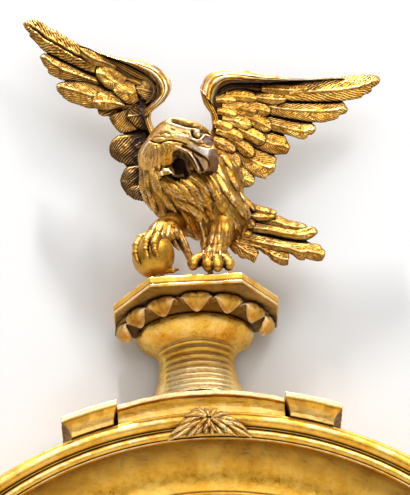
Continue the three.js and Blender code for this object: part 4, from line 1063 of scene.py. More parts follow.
def eagle_body():
    bk = Bucket()
    b0 = base_body(1.3)
    v = base_body(0.95)
    # soft lumps of the carving
    P = np.stack(np.meshgrid(*v.ax, indexing="ij"), -1)
    v.f = (v.f + 1.1 * (noise3(P, 0.16, 3.0) - 0.5) + 0.6 * (noise3(P, 0.42, 4.0) - 0.5)).astype(np.float32)
    del P
    pxc(v, [(184, 157, 104, 7.0), (182, 165, 100, 9.5), (180, 174, 100, 8.5)], 2.0, True)
    V, Q = v.mesh()
    # painted shade: darkest in the open mouth's hollow, with darkness in hollows and a darker base over the whole trunk
    fr = smooth(0.0, 0.3, -(v.normal(V) @ CAM_F))
    mouth_shade = patch(to_px(V), [(168, 150), (178, 147), (188, 150), (192, 160), (192, 174), (186, 180), (176, 181), (168, 176), (165, 162)], 3.0) * fr
    bk.add(V, [Q], np.clip(hollow_dirt_and_shade(v, V) * 0.5 + 0.45 + 1.2 * mouth_shade, 0, 1))
    # feathers at the back and sides, in loose rows from the tail up
    rg = np.random.default_rng(11)
    N = b0.normal(V)
    pick = rg.permutation(len(V))
    taken, seeds = [], []
    for i in pick:
        p = V[i]
        q = to_px(p)
        if p[1] > -22 or p[2] < 556 or p[2] > 705:
            continue
        face = N[i] @ CAM_F
        if face < -0.25 and 130 < q[0] < 262 and 112 < q[1] < 250:
            continue
        if taken and np.min(np.linalg.norm(np.array(taken) - p, axis=1)) < 9.5:
            continue
        taken.append(p)
        seeds.append(p)
        if len(seeds) > 210:
            break
    seeds.sort(key=lambda p: p[2])
    hc = W(181, 144, 88)
    for j, p in enumerate(seeds):
        flow = (p - hc) / np.linalg.norm(p - hc) * 0.9 + np.array([0.30, 0.05, -0.95])
        path = [p]
        for _ in range(9):
            n = b0.normal(path[-1])
            t = flow - n * (flow @ n)
            t /= np.linalg.norm(t) + 1e-9
            path.append(b0.snap(path[-1] + t * 2.1, 1))
        body_blade(bk, b0, np.array(path), 5.2 + 1.2 * rg.random(), (-0.8, 1.8), 100.0 + j, world=True)
    # feathers that the front shows, as picture strands
    F = [
        ([(240, 190), (247, 200), (252, 212)], 5), ([(232, 196), (240, 208), (246, 220)], 5), ([(222, 206), (232, 220), (240, 232)], 5.5),
        ([(214, 216), (224, 228), (232, 242)], 5), ([(205, 222), (214, 234), (222, 248)], 4.5), ([(196, 222), (203, 234), (210, 247)], 4.2),
        ([(188, 216), (194, 228), (202, 241)], 4.2), ([(180, 208), (186, 220), (193, 232)], 4.5), ([(170, 204), (176, 216), (184, 228)], 4.5),
        ([(160, 202), (166, 213), (174, 224)], 4.5), ([(151, 198), (156, 210), (162, 221)], 4.5),
        ([(236, 178), (240, 190), (243, 202)], 6), ([(224, 184), (231, 196), (236, 208)], 6), ([(214, 194), (222, 206), (229, 219)], 6),
        ([(206, 205), (213, 216), (219, 230)], 6.2), ([(198, 208), (205, 220), (211, 233)], 4.6), ([(190, 204), (197, 214), (204, 226)], 4.8),
        ([(181, 199), (189, 208), (198, 217)], 4.6), ([(170, 192), (178, 203), (190, 212)], 4.6), ([(160, 190), (168, 203), (178, 213)], 4.6),
        ([(147, 188), (152, 200), (158, 211)], 4.8), ([(142, 180), (145, 191), (149, 201)], 4.4),
        ([(228, 166), (233, 178), (236, 191)], 6), ([(218, 174), (224, 187), (229, 199)], 6), ([(209, 182), (216, 194), (222, 207)], 6),
        ([(200, 188), (206, 200), (212, 213)], 6), ([(190, 190), (197, 201), (204, 212)], 5.4), ([(178, 188), (187, 197), (197, 205)], 5),
        ([(166, 182), (176, 193), (188, 202)], 4.8), ([(158, 172), (166, 186), (176, 197)], 4.8),
        ([(153, 170), (156, 184), (163, 198)], 6.2), ([(147, 171), (147, 185), (152, 198)], 4.2), ([(141, 158), (139, 170), (142, 186), (146, 196)], 4.2),
        ([(152, 150), (147, 162), (146, 176)], 4.4), ([(158, 152), (153, 166), (153, 180)], 4.6), ([(150, 138), (143, 150), (140, 163)], 4.2),
        ([(156, 136), (150, 150), (148, 166)], 4.6), ([(160, 146), (158, 158), (160, 171)], 5.0),
        ([(222, 150), (228, 162), (232, 174)], 5.5), ([(216, 160), (220, 172), (225, 184)], 5.5), ([(205, 176), (210, 186), (215, 196)], 5),
        ([(190, 186), (196, 194), (203, 202)], 4.6),
        ([(206, 171), (213, 182), (219, 193)], 5.0), ([(196, 177), (203, 187), (210, 197)], 4.6), ([(186, 180), (193, 188), (201, 197)], 4.4),
        ([(176, 182), (183, 189), (192, 197)], 4.2), ([(166, 180), (172, 187), (181, 195)], 4.2), ([(190, 176), (198, 183), (206, 191)], 4.0),
        ([(181, 179), (188, 185), (196, 192)], 3.8), ([(171, 183), (177, 190), (186, 198)], 3.8),
    ]
    for j, (sp, hw) in enumerate(F):
        body_blade(bk, b0, sp, hw * 1.04, (-0.7, 2.6), 300.0 + j, sp=2.9, amp=1.15, crown=1.8)
    return bk


def stroke(Q, pts, w):
    """Closeness of picture points Q to a curve, 1 on it."""
    c = crom(pts, max(8, 5 * len(pts))) if len(pts) > 2 else even(pts, 4)
    best = np.full(len(Q), 1e9)
    for a, b in zip(c[:-1], c[1:]):
        ba = b - a
        t = np.clip(((Q - a) @ ba) / (ba @ ba + 1e-9), 0, 1)
        best = np.minimum(best, np.sum((Q - a - t[:, None] * ba) ** 2, 1))
    return np.exp(-best / w ** 2)


def patch(Q, poly, soft=1.0):
    """1 inside a picture outline, 0 outside, soft between."""
    P = np.asarray(poly, float)
    best = np.full(len(Q), 1e9)
    ins = np.zeros(len(Q), bool)
    for a, b in zip(P, np.roll(P, -1, 0)):
        ba = b - a
        t = np.clip(((Q - a) @ ba) / (ba @ ba + 1e-9), 0, 1)
        best = np.minimum(best, np.sum((Q - a - t[:, None] * ba) ** 2, 1))
        with np.errstate(divide="ignore", invalid="ignore"):
            xi = (b[0] - a[0]) * (Q[:, 1] - a[1]) / (b[1] - a[1]) + a[0]
        ins ^= ((a[1] > Q[:, 1]) != (b[1] > Q[:, 1])) & (Q[:, 0] < xi)
    sd = np.sqrt(best) * np.where(ins, 1, -1)
    return smooth(-soft, soft, sd)


HEAD_PATCHES = [
    # outline, softness, height, darkness from grime and painted shade, paleness from worn leaf and painted highlight,
    # clay
    # painted highlight: the beak's white patch
    ([(190, 142.5), (197, 146.5), (204, 148), (210.5, 149.5), (212, 156), (208.5, 158), (203, 155), (196, 150.5), (190, 146.5)], 1.2, 0.9, 0, 1.0, 0),
    ([(209.5, 149), (213.5, 152), (217.5, 158), (220, 166), (219, 174), (211, 178.5), (203, 178), (200, 174.5), (205, 172), (208.6, 167), (209.4, 162), (208.2, 156)], 1.0, 0.5, 0, 0, 0.95),
    ([(202, 139.5), (206.4, 134.4), (213, 135.6), (215.5, 142), (212.6, 146.2), (206.6, 145.6), (202.4, 142.8)], 1.0, -0.6, 0.45, -1, 1.0),
    ([(195.6, 153.8), (201, 157.2), (206, 161), (207.6, 166), (205, 170.4), (201.6, 171.8), (198.6, 165), (195.4, 158.5)], 0.9, -2.2, 0, 0.45, 0),
    ([(186, 151), (190, 154.5), (194, 160), (197.5, 168), (199.5, 174.5), (193, 176), (189, 170), (187, 161)], 1.2, -1.6, 0.38, 0, 0),
    # painted shade: the mouth's dark hollow
    ([(174, 152), (179, 149.8), (185, 152.5), (188, 160), (189, 168), (190, 176), (185, 180), (177, 179.5), (173.5, 175), (171.5, 168), (172, 160)], 2.0, 0, 1.0, 0, 0),
    ([(154, 134), (160, 128), (168, 122), (178, 126), (190, 130), (192, 138), (186, 142.5), (176, 139.5), (164, 139.5), (156, 141), (150, 140)], 2.2, 0.3, -0.20, 0.16, 0),
    ([(161, 142.5), (168, 141.5), (175, 144), (174, 150), (171, 156), (165, 159), (162, 155)], 4.0, 1.3, 0, 0, 0),
    ([(149, 146), (155, 143.5), (160, 149), (160.5, 158), (158, 166), (152, 168), (149, 158)], 4.5, 1.2, 0, 0.10, 0),
]
HEAD_STROKES = [
    # curve, width, height, darkness from grime and painted shade, paleness from worn leaf and painted highlight
    ([(166, 123), (172, 119.6), (180, 119.2), (187, 121.2), (194, 123.8), (200, 126.8), (206, 131.6)], 1.5, 1.4, 0, 0.35),
    # painted shadow in the recess under the far brow
    ([(174, 120.9), (180, 122.8), (187, 124.9), (194, 126.2), (200, 128.5), (205, 132.2), (208, 134)], 1.9, -3.6, 1.1, -1),
    ([(169, 123.5), (178, 126.3), (186, 128.6), (193, 129.2), (199, 130.2)], 1.3, 1.2, 0, 0.4),
    # painted shade in a ring round the eye, then a painted glint on the eye
    ([(192.2, 131), (192.4, 134.6), (195, 137.6), (199, 137.4), (201.6, 134.8), (201.4, 131.2)], 1.15, -2.0, 1.0, -1),
    ([(196.6, 132.6), (197.6, 132.6)], 2.5, 2.4, -0.5, 0.7),
    ([(189.6, 133.5), (191.6, 138), (196, 140.6), (200.6, 139.8), (203.6, 136.4), (204.2, 133.6)], 1.1, 1.3, 0, 0.9),
    ([(186, 138), (191, 140.6), (197, 143.4), (203, 144)], 0.8, -1.0, 0.7, 0),
    ([(194, 143.6), (200, 146.2), (207, 147.6), (212, 147)], 0.7, -0.9, 0.5, -0.5),
    ([(151, 141), (158, 143), (165, 141), (172, 140.4), (180, 142), (186, 144.5)], 1.1, -1.7, 0.95, -0.6),
    ([(160.6, 143), (161.4, 150), (160.6, 156), (162.4, 162), (161, 167)], 1.5, -0.8, 0.28, 0),
    ([(176, 146.8), (182, 148.8), (188, 152.2), (192.6, 157.6), (196, 163.6), (199.2, 170.2)], 0.95, 1.7, -0.6, 0.9),
    ([(183, 146.2), (189, 148.4), (195, 152), (201, 155.9), (206, 159.3), (208.6, 163), (208.4, 166.5)], 1.1, -2.4, 1.1, -1),
    ([(192.6, 152.6), (196, 158.8), (199.4, 165.6), (201.2, 171.6)], 0.8, -1.6, 0.9, -1),
    ([(188.6, 156), (193, 162), (196.4, 169)], 1.2, -1.0, 0.7, -1),
    ([(160.6, 170), (162.4, 177), (166.4, 181.8), (172, 184.6), (180, 186.4)], 1.3, 1.7, -0.3, 0.5),
    ([(159, 171), (160.6, 178), (165, 184.2), (171.6, 187.4), (181, 189)], 1.2, -2.4, 1.0, 0),
    ([(164, 169.4), (165, 170.2)], 1.6, 1.6, -0.5, 0.9),
    ([(169, 171.4), (173, 174.6)], 1.1, 1.2, -0.3, 0.6),
    ([(166.6, 174), (169.5, 176)], 1.1, -1.0, 0.6, 0),
    ([(184.5, 172), (185, 178), (186.4, 183)], 0.9, 1.2, -0.6, 0.5),
    ([(186.6, 176), (187.6, 182), (189.6, 186)], 0.9, -1.4, 0.9, 0),
    ([(160, 134.6), (165, 132.6), (169, 133.8)], 1.2, -1.0, 0.6, -0.8),
    ([(171, 129.6), (174, 130.6)], 1.1, -0.9, 0.6, -0.8), ([(183, 133), (188, 134.4)], 0.9, -0.6, 0.35, -0.3),
    ([(154, 137.6), (159, 136.6), (166, 138), (172, 137.4)], 0.9, -0.7, 0.45, -0.3), ([(150, 140), (146, 147), (142.5, 154)], 1.3, 1.0, 0, 0.6),
    ([(196, 147.5), (199, 148.5)], 0.6, -0.4, 0, 0), ([(176, 135), (182, 136), (188, 137.5)], 0.8, 0.6, 0, 0.5),
    ([(164, 144), (167, 150), (166, 156)], 0.8, -0.6, 0.4, 0), ([(169, 143.6), (171, 149), (169, 154)], 0.7, -0.6, 0.35, 0),
    ([(152, 147), (154, 156), (153, 165)], 0.9, -0.7, 0.4, 0), ([(156, 146), (157.4, 155), (156.4, 164)], 0.8, -0.6, 0.3, 0),
]


def eagle_head(bk):
    h0 = base_head(1.2)
    v = base_head(0.55)
    P = np.stack(np.meshgrid(*v.ax, indexing="ij"), -1)
    v.f = (v.f + 0.6 * (noise3(P, 0.22, 8.0) - 0.5) + 0.3 * (noise3(P, 0.6, 9.0) - 0.5)).astype(np.float32)
    del P
    # far brow
    on(h0, [(166, 124, -3, 3.0), (174, 120.5, -5.5, 2.8), (184, 121.4, -6.5, 2.6), (194, 124.4, -6.5, 2.6), (203, 129.4, -5.5, 2.6), (209, 134.4, -3.5, 2.8)], 2.0, False, v)
    # heavy upper beak, hooked over to the right and down
    pxc(v, [(195, 141, 103, 11.0), (201, 144, 108, 9.4), (206, 148.5, 112, 8.6), (209.6, 154, 113.6, 8.4), (210.6, 160.5, 113.4, 8.0), (210.4, 166.5, 112, 7.4), (207.6, 171.2, 110.6, 5.0),
            (203.4, 173.8, 109.6, 2.8), (201.2, 174.6, 109.2, 1.4)], 2.5)
    pxc(v, [(203, 140, 106, 7.5), (208.6, 141, 107.5, 5.6)], 3.0)
    # roof of the mouth and the inner face of the hook
    pxc(v, [(188, 150, 105, 6.5), (193, 157, 106, 6.5), (197, 164, 106.5, 5.5), (200.4, 170, 107, 3.6)], 2.5)
    pxc(v, [(197, 153, 107, 6.0), (202, 160, 109, 6.0), (204, 167, 109, 4.6)], 2.5)
    pxc(v, [(188, 160, 98, 7.0), (191, 170, 97, 7.0)], 3.0)
    # lower jaw, a spoon
    v.ell(W(171.5, 177.8, 102), (12.8, 12, 10.4), 2.5)
    # mouth
    pxc(v, [(177, 154.5, 110, 4.8), (178, 161, 110, 7.6), (177.6, 168.5, 111, 8.0), (179, 174.5, 113, 5.8)], 1.6, True)
    pxc(v, [(178, 158, 98, 6.6), (178.6, 166, 95, 8.6), (180, 173, 98, 6.8)], 2.0, True)
    V, Q = v.mesh()
    q = to_px(V)
    N = v.normal(V)
    face = smooth(0.05, 0.35, -(N @ CAM_F)) * smooth(66, 84, -V[:, 1])
    near = (q[:, 0] > 134) & (q[:, 0] < 224) & (q[:, 1] > 112) & (q[:, 1] < 194)
    ids = np.where(near & (face > 0.01))[0]
    qq = q[ids]
    off, dirt_and_shade, rub, clay = np.zeros(len(ids)), np.zeros(len(ids)), np.zeros(len(ids)), np.zeros(len(ids))
    for poly, soft, h, dr, rb, cl in HEAD_PATCHES:
        m = patch(qq, poly, soft)
        off, dirt_and_shade, rub, clay = off + h * m, dirt_and_shade + dr * m, rub + rb * m, clay + cl * m
    for pts, w, h, dr, rb in HEAD_STROKES:
        m = stroke(qq, pts, w)
        off, dirt_and_shade, rub = off + h * m, dirt_and_shade + dr * m, rub + rb * m
        clay = clay * (1 - 0.5 * m * (dr > 0.9))
    # short hair-like cuts over the crown and cheeks
    ang = qq[:, 0] * 0.42 + qq[:, 1] * 0.9
    hair = np.abs(np.sin(ang * 0.9 + 3.0 * noise3(V[ids], 0.12, 12.0)))
    zone = patch(qq, [(146, 138), (160, 127), (186, 130), (186, 143), (172, 158), (163, 168), (150, 172), (140, 165)], 3.0) * (1 - np.clip(clay, 0, 1))
    off = off - 0.22 * zone * (1 - hair ** 0.6)
    # painted shade in the cuts
    dirt_and_shade = dirt_and_shade + 0.09 * zone * (1 - hair) ** 1.5
    A = hollow_dirt_and_shade(v, V) * 0.55
    R, C = np.zeros(len(V)), np.zeros(len(V))
    f = face[ids]
    V[ids] = V[ids] + N[ids] * (off * f)[:, None]
    A[ids] = A[ids] + dirt_and_shade * f
    R[ids] = np.clip(rub, 0, 1) * f
    C[ids] = np.clip(clay, 0, 1) * smooth(0, 0.2, f)
    side = (q[:, 0] > 209) & (q[:, 1] > 149) & (q[:, 1] < 178) & near
    C = np.where(side, np.maximum(C, 0.85), C)
    bk.add(V, [Q], np.clip(A, 0, 1), R, C)
    # small feathers of the nape
    S = [
        ([(154, 134), (149, 141), (145, 150)], 3.0), ([(150, 146), (146, 155), (145, 165)], 3.2), ([(158, 160), (157, 168), (159, 176)], 3.2),
        ([(151, 156), (150, 165), (152, 174)], 3.2), ([(146, 158), (145, 167), (147, 176)], 3.2),
    ]
    for j, (sp, hw) in enumerate(S):
        body_blade(bk, h0, sp, hw, (-0.7, 1.0), 500.0 + j, sp=2.0, amp=0.45, crown=0.8, rh=0.1)


bb = eagle_body()
bb.build("eagle_trunk", GOLD, "root", ("eagle_body",), "giltwood")
hb = Bucket()
eagle_head(hb)
hb.build("eagle_head", GOLD_HEAD, "root", (), "giltwood")


# ------------------------------------------------------------------ ball, legs and claws
def ball_piece():
    v = Vol((-68, -128, 498), (-10, -74, 554), 0.8)
    c = W(153.2, 255.8, 101)
    v.ell((c[0], c[1], max(c[2], 523.0)), (21.6, 20.4, 23.6), 1.0)
    P = np.stack(np.meshgrid(*v.ax, indexing="ij"), -1)
    v.f = (v.f + 0.7 * (noise3(P, 0.13, 21.0) - 0.5) + 0.3 * (noise3(P, 0.5, 22.0) - 0.5)).astype(np.float32)
    # flat seat on the plinth
    v.f = np.maximum(v.f, (501.0 - v.ax[2])[None, None, :]).astype(np.float32)
    # darker towards the bottom and on the left side, as painted shade
    return vol_piece("carved_ball", v, GOLD_FRAME, ("ball",), dirt_and_shade=lambda V: 0.34 + 0.30 * smooth(514, 502, V[:, 2]) + 0.20 * smooth(-45, -58, V[:, 0]))


def toe(v, pts, k=1.2, rings=True):
    """A toe with knuckles: (px, py, d, r) along it, then scutes cut across."""
    pxc(v, pts, k)
    P = np.asarray(pts, float)
    c = crom(P, 40)
    if rings:
        for i in range(4, 30, 4):
            p = W(*c[i, :3])
            q = W(*c[i + 1, :3])
            t = (q - p) / (np.linalg.norm(q - p) + 1e-9)
            r = c[i, 3]
            u = np.cross(t, CAM_F)
            u /= np.linalg.norm(u) + 1e-9
            w = np.cross(u, t)
            a0 = None
            for a in np.linspace(-1.5, 1.5, 6):
                x = p + (u * math.sin(a) - w * math.cos(a) * np.sign(w @ CAM_F)) * (r + 0.35)
                if a0 is not None:
                    v.cone(a0, x, 0.55, 0.55, 0.6, True)
                a0 = x


def leg_left():
    v = Vol((-76, -138, 498), (10, -56, 600), 0.62)
    # thigh over the ball
    pxc(v, [(176, 221, 72, 12), (169, 227, 82, 11.5), (163, 233, 91, 10), (158, 238, 99, 7.5)], 5.0)
    pxc(v, [(161, 228, 80, 9), (157, 232, 91, 8.6), (152, 237, 100, 7.0)], 4.0)
    pxc(v, [(172, 234, 96, 7), (166, 240, 101, 5)], 4.0)
    # toes gripping the ball
    toe(v, [(156, 236, 106, 5.6), (150, 236, 114, 5.2), (146.5, 242, 118.5, 4.6), (145.5, 250, 120.5, 3.4), (147.5, 257, 121.5, 1.9), (149.5, 260, 121.5, 0.8)])
    toe(v, [(162, 238, 108, 5.4), (156.5, 238, 117, 5.0), (154.5, 244, 122, 4.2), (155, 251, 124, 3.0), (157.5, 256.5, 124, 1.6), (159, 258.5, 123.5, 0.7)])
    toe(v, [(150, 236, 104, 5.4), (141, 239, 109, 5.0), (136.5, 246, 111.5, 4.4), (135.4, 254, 112, 3.4), (137.4, 261, 113, 2.0), (140, 265, 113, 0.8)])
    toe(v, [(158, 267, 94, 3.0), (166, 270.5, 101, 3.4), (173, 270.5, 102, 2.6), (178, 269.5, 100, 1.2)], rings=False)
    # feathered spur at the back of the leg
    toe(v, [(170, 228, 92, 8.5), (178, 236, 90, 6.2), (184, 246, 88, 4.6), (189, 256, 88, 3.6), (191, 263, 90, 2.4)], 2.5, rings=False)
    pxc(v, [(176, 232, 95, 3.2), (183, 241, 93, 2.6), (189, 252, 92, 2.0), (191, 259, 92, 1.2)], 1.2)
    pxc(v, [(171, 238, 97, 2.6), (175, 245, 95, 2.0), (179, 250, 94, 1.0)], 1.0)
    V, Q = v.mesh()
    bk = Bucket()
    bk.add(V, [Q], hollow_dirt_and_shade(v, V) * 0.9 + 0.24)
    for j, (sp, hw) in enumerate([
        ([(158, 219), (154, 227), (151, 235)], 3.8), ([(165, 219), (161, 227), (158, 236)], 3.8), ([(172, 221), (169, 229), (167, 238)], 3.8),
        ([(178, 222), (177, 231), (178, 240)], 3.8), ([(170, 228), (173, 236), (177, 246)], 3.2), ([(176, 232), (182, 241), (187, 252)], 2.8),
        ([(180, 228), (184, 238), (188, 248)], 3.0), ([(164, 228), (163, 235), (164, 242)], 3.0), ([(182, 244), (186, 252), (190, 260)], 2.4)]):
        body_blade(bk, v, sp, hw, (-0.5, 1.0), 600.0 + j, sp=2.4, amp=0.5, crown=0.8)
    return bk.build("leg_left_carving", GOLD, "root", ("leg_left",), "giltwood")


def leg_right():
    v = Vol((-14, -130, 498), (44, -52, 604), 0.62)
    pxc(v, [(222, 222, 68, 17), (219, 234, 76, 13.5), (216, 245, 84, 10.5), (213, 254, 91, 7.5), (212, 260, 96, 6.5)], 5.0)
    pxc(v, [(206, 232, 76, 7), (205, 244, 84, 4.6), (204, 254, 88, 2.6)], 3.0)
    for k, (x, xe, ye, dd) in enumerate([(202, 193.5, 266.5, 113), (208.5, 208, 268, 116), (214.5, 217.5, 268, 116.5), (221, 228.5, 267, 112)]):
        toe(v, [(208 + 2.6 * k, 259, 98, 6.6), ((208 + 2.6 * k + x) / 2, 258, 105, 6.6), (x * 0.4 + xe * 0.6, 261, dd - 4, 6.9), (xe, ye - 3.2, dd - 1, 6.2),
                (xe - 0.3 + 0.2 * k, ye - 1.0, dd + 1, 5.0)])
    V, Q = v.mesh()
    bk = Bucket()
    bk.add(V, [Q], hollow_dirt_and_shade(v, V) * 0.9 + 0.24)
    for j, (sp, hw) in enumerate([
        ([(206, 228), (204, 240), (203, 256)], 3.6), ([(211, 230), (209, 242), (208, 258)], 3.8), ([(217, 230), (215, 243), (214, 257)], 4.2),
        ([(223, 230), (221, 242), (220, 256)], 4.2), ([(228, 232), (228, 243), (231, 257)], 3.6), ([(212, 222), (211, 233), (211, 245)], 4.6),
        ([(220, 220), (219, 232), (219, 245)], 4.6), ([(228, 222), (228, 233), (229, 246)], 4.4), ([(204, 222), (204, 233), (205, 246)], 4.2)]):
        body_blade(bk, v, sp, hw, (-0.5, 1.4), 640.0 + j, sp=2.4, amp=0.6, crown=0.9)
    return bk.build("leg_right_carving", GOLD, "root", ("leg_right",), "giltwood")


ball_piece()
leg_left()
leg_right()
bk_ = Bucket()
A_, B_ = quill([(208, 236), (219, 246), (232, 258.5)], 4.0, 0.6, 0.9, point=0.6)
blade(bk_, A_, B_, (82, 70), 91.0, sp=2.8, amp=0.8, crown=2.0, shade=0.6)
A_, B_ = quill([(200, 222), (204, 238), (205, 257)], 3.6, 0.6, 0.9, point=0.5)
blade(bk_, A_, B_, (92, 86), 92.0, sp=2.8, amp=0.8, crown=2.0, shade=0.3)
bk_.build("loose_feathers", GOLD, "root", (), "giltwood")


# ------------------------------------------------------------------ the round frame
def lathe_y(prof, n, wob=None, name=None, rad_dirt_and_shade=None, lo=0.0, hi=TAU, step=0.9):
    """Closed profile of (r, d) turned about the mirror's axis; fine rings between the profile's corners."""
    P = np.asarray(prof, float)
    out = []
    for a, b in zip(P, np.roll(P, -1, 0)):
        k = max(1, int(np.linalg.norm(b - a) / step))
        out += [a + (b - a) * i / k for i in range(k)]
    R = np.array(out)
    m = len(R)
    th = np.linspace(0, TAU, n + 1)[:-1]
    r, d = np.broadcast_to(R[:, 0], (n, m)), np.broadcast_to(R[:, 1], (n, m))
    # outward normal of the profile, for wear
    t = np.roll(R, -1, 0) - np.roll(R, 1, 0)
    nr = np.stack([t[:, 1], -t[:, 0]], 1)
    nr /= np.linalg.norm(nr, axis=1)[:, None] + 1e-9
    area = 0.5 * np.sum(R[:, 0] * np.roll(R[:, 1], -1) - np.roll(R[:, 0], -1) * R[:, 1])
    if area < 0:
        nr = -nr
    X = np.stack([r * np.cos(th)[:, None], -d, r * np.sin(th)[:, None]], -1)
    off = np.zeros((n, m)) if wob is None else wob(X, r, d)
    r2, d2 = r + nr[None, :, 0] * off, d + nr[None, :, 1] * off
    X = np.stack([r2 * np.cos(th)[:, None], -d2, r2 * np.sin(th)[:, None]], -1)
    i, j = np.meshgrid(np.arange(n), np.arange(m), indexing="ij")
    a = i * m + j
    b = ((i + 1) % n) * m + j
    c = ((i + 1) % n) * m + (j + 1) % m
    e = i * m + (j + 1) % m
    F = np.stack([a, b, c, e], -1).reshape(-1, 4)
    if area > 0:
        F = F[:, ::-1]
    dirt_and_shade = np.zeros((n, m)) if rad_dirt_and_shade is None else rad_dirt_and_shade(X, r, d)
    return X.reshape(-1, 3), F, dirt_and_shade.ravel()


def arc2(cx, cy, r, a0, a1, n):
    return [(cx + r * math.cos(math.radians(a)), cy + r * math.sin(math.radians(a))) for a in np.linspace(a0, a1, n)]


def wear(amount=0.22, seed=0.0):
    def f(X, r, d):
        big = noise3(X, 0.035, seed) - 0.5
        mid_ = noise3(X, 0.16, seed + 1) - 0.5
        fine = noise3(X, 0.7, seed + 2) - 0.5
        return amount * (1.0 * big + 0.8 * mid_ + 0.35 * fine)
    return f


ring_prof = [(306, 10), (378, 10), (380, 14), (380, 32), (380, 50), (377.2, 50.6)] + arc2(370.3, 50.6, 6.9, 0, 180, 19)[1:-1] + [(363.4, 50.6), (363.2, 53), (361.4, 53), (361, 50)] \
    + arc2(356.3, 50.4, 4.7, 5, 175, 13)[1:-1] + [(351.5, 50.4), (351.4, 52.6), (350.8, 53.2), (350.0, 53.2), (349.6, 52.4)]
for a_ in np.linspace(4, 90, 24):
    ring_prof.append((306.2 + 43.4 * math.cos(math.radians(a_)), 53 - 33 * math.sin(math.radians(a_))))


def ring_dirt_and_shade(X, r, d):
    n = noise3(X, 0.08, 31.0)
    n2 = noise3(X, 0.4, 32.0)
    a = np.zeros(r.shape)
    # painted shade: dark lines in the quirks of the moulding
    for r0, w, k in ((363.2, 0.8, 0.85), (361.2, 0.6, 0.6), (351.5, 0.6, 0.75), (377.6, 0.9, 0.5), (306.6, 1.4, 0.7)):
        a += k * np.exp(-((r - r0) / w) ** 2) * (d > 19)
    # painted shadow of the lip on the cavetto, darker towards the outside
    cav = (r < 349.4) & (d < 52.8) & (d > 19)
    a += cav * (0.62 * smooth(322, 345, r) ** 1.2 + 0.03) * (0.8 + 0.4 * n)
    a += 0.14 * smooth(0.66, 0.80, n2) * (0.3 + n)
    a += ((r > 362.2) & (d > 49)) * 0.10 * n
    return np.clip(a, 0, 1)


N_RING = 700
V_, F_, A_ = lathe_y(ring_prof, N_RING, wear(0.30, 40.0), rad_dirt_and_shade=ring_dirt_and_shade)
bk_ = Bucket()
n_ = noise3(V_, 0.045, 37.0)
n2_ = noise3(V_ * np.array([1.0, 1.0, 2.2]), 0.22, 38.0)
rr_ = np.hypot(V_[:, 0], V_[:, 2])
# pale worn leaf and painted highlights along the torus's crest, the bead and the lip
ring_wear_and_highlight = 0.85 * np.exp(-((rr_ - 371.5) / 2.6) ** 2) * (-V_[:, 1] > 53) * smooth(0.42, 0.62, 0.5 * n_ + 0.5 * n2_)
ring_wear_and_highlight = ring_wear_and_highlight + 0.8 * np.exp(-((rr_ - 356.6) / 2.0) ** 2) * (-V_[:, 1] > 52) * smooth(0.40, 0.62, n2_)
ring_wear_and_highlight = ring_wear_and_highlight + 0.9 * np.exp(-((rr_ - 350.2) / 0.7) ** 2) * (-V_[:, 1] > 51) * smooth(0.30, 0.55, n2_)
bk_.add(V_, [F_], A_, np.clip(ring_wear_and_highlight, 0, 1))
bk_.build("frame_ring_wear_and_highlight", GOLD_FRAME, "root", ("frame_ring",), "giltwood")

fil = [(299.2, 10.3), (305.1, 10.3), (305.4, 19), (305.1, 23.4)] + arc2(302.2, 23.2, 2.9, 0, 180, 9)[1:-1] + [(299.2, 23)]
V_, F_, A_ = lathe_y(fil, N_RING, wear(0.2, 44.0), rad_dirt_and_shade=lambda X, r, d: 0.35 * (r > 304.6) + 0.25 * noise3(X, 0.3, 45.0), step=0.7)
bk_ = Bucket()
bk_.add(V_, [F_], A_)
bk_.build("sight_fillet_worn", GOLD_FRAME, "root", ("sight_fillet",), "giltwood")


# ------------------------------------------------------------------ helpers for turned, swept and sawn pieces
def add_solid(bk, V, F, A=None, R=None):
    """Adds a closed shell with its faces turned outward."""
    V = np.asarray(V, float)
    vol = 0.0
    F = [np.asarray(q, int) for q in F if len(q)]
    for q in F:
        for j in range(1, q.shape[1] - 1):
            vol += float(np.einsum("ij,ij->", V[q[:, 0]], np.cross(V[q[:, j]], V[q[:, j + 1]])))
    if vol < 0:
        F = [q[:, ::-1] for q in F]
    bk.add(V, F, A, R)


def resample(prof, step, closed):
    P = np.asarray(prof, float)
    out = []
    nxt = np.roll(P, -1, 0) if closed else P[1:]
    for a, b in zip(P if closed else P[:-1], nxt):
        k = max(1, int(math.ceil(np.linalg.norm(b - a) / step)))
        out += [a + (b - a) * i / k for i in range(k)]
    if not closed:
        out.append(P[-1])
    return np.array(out)


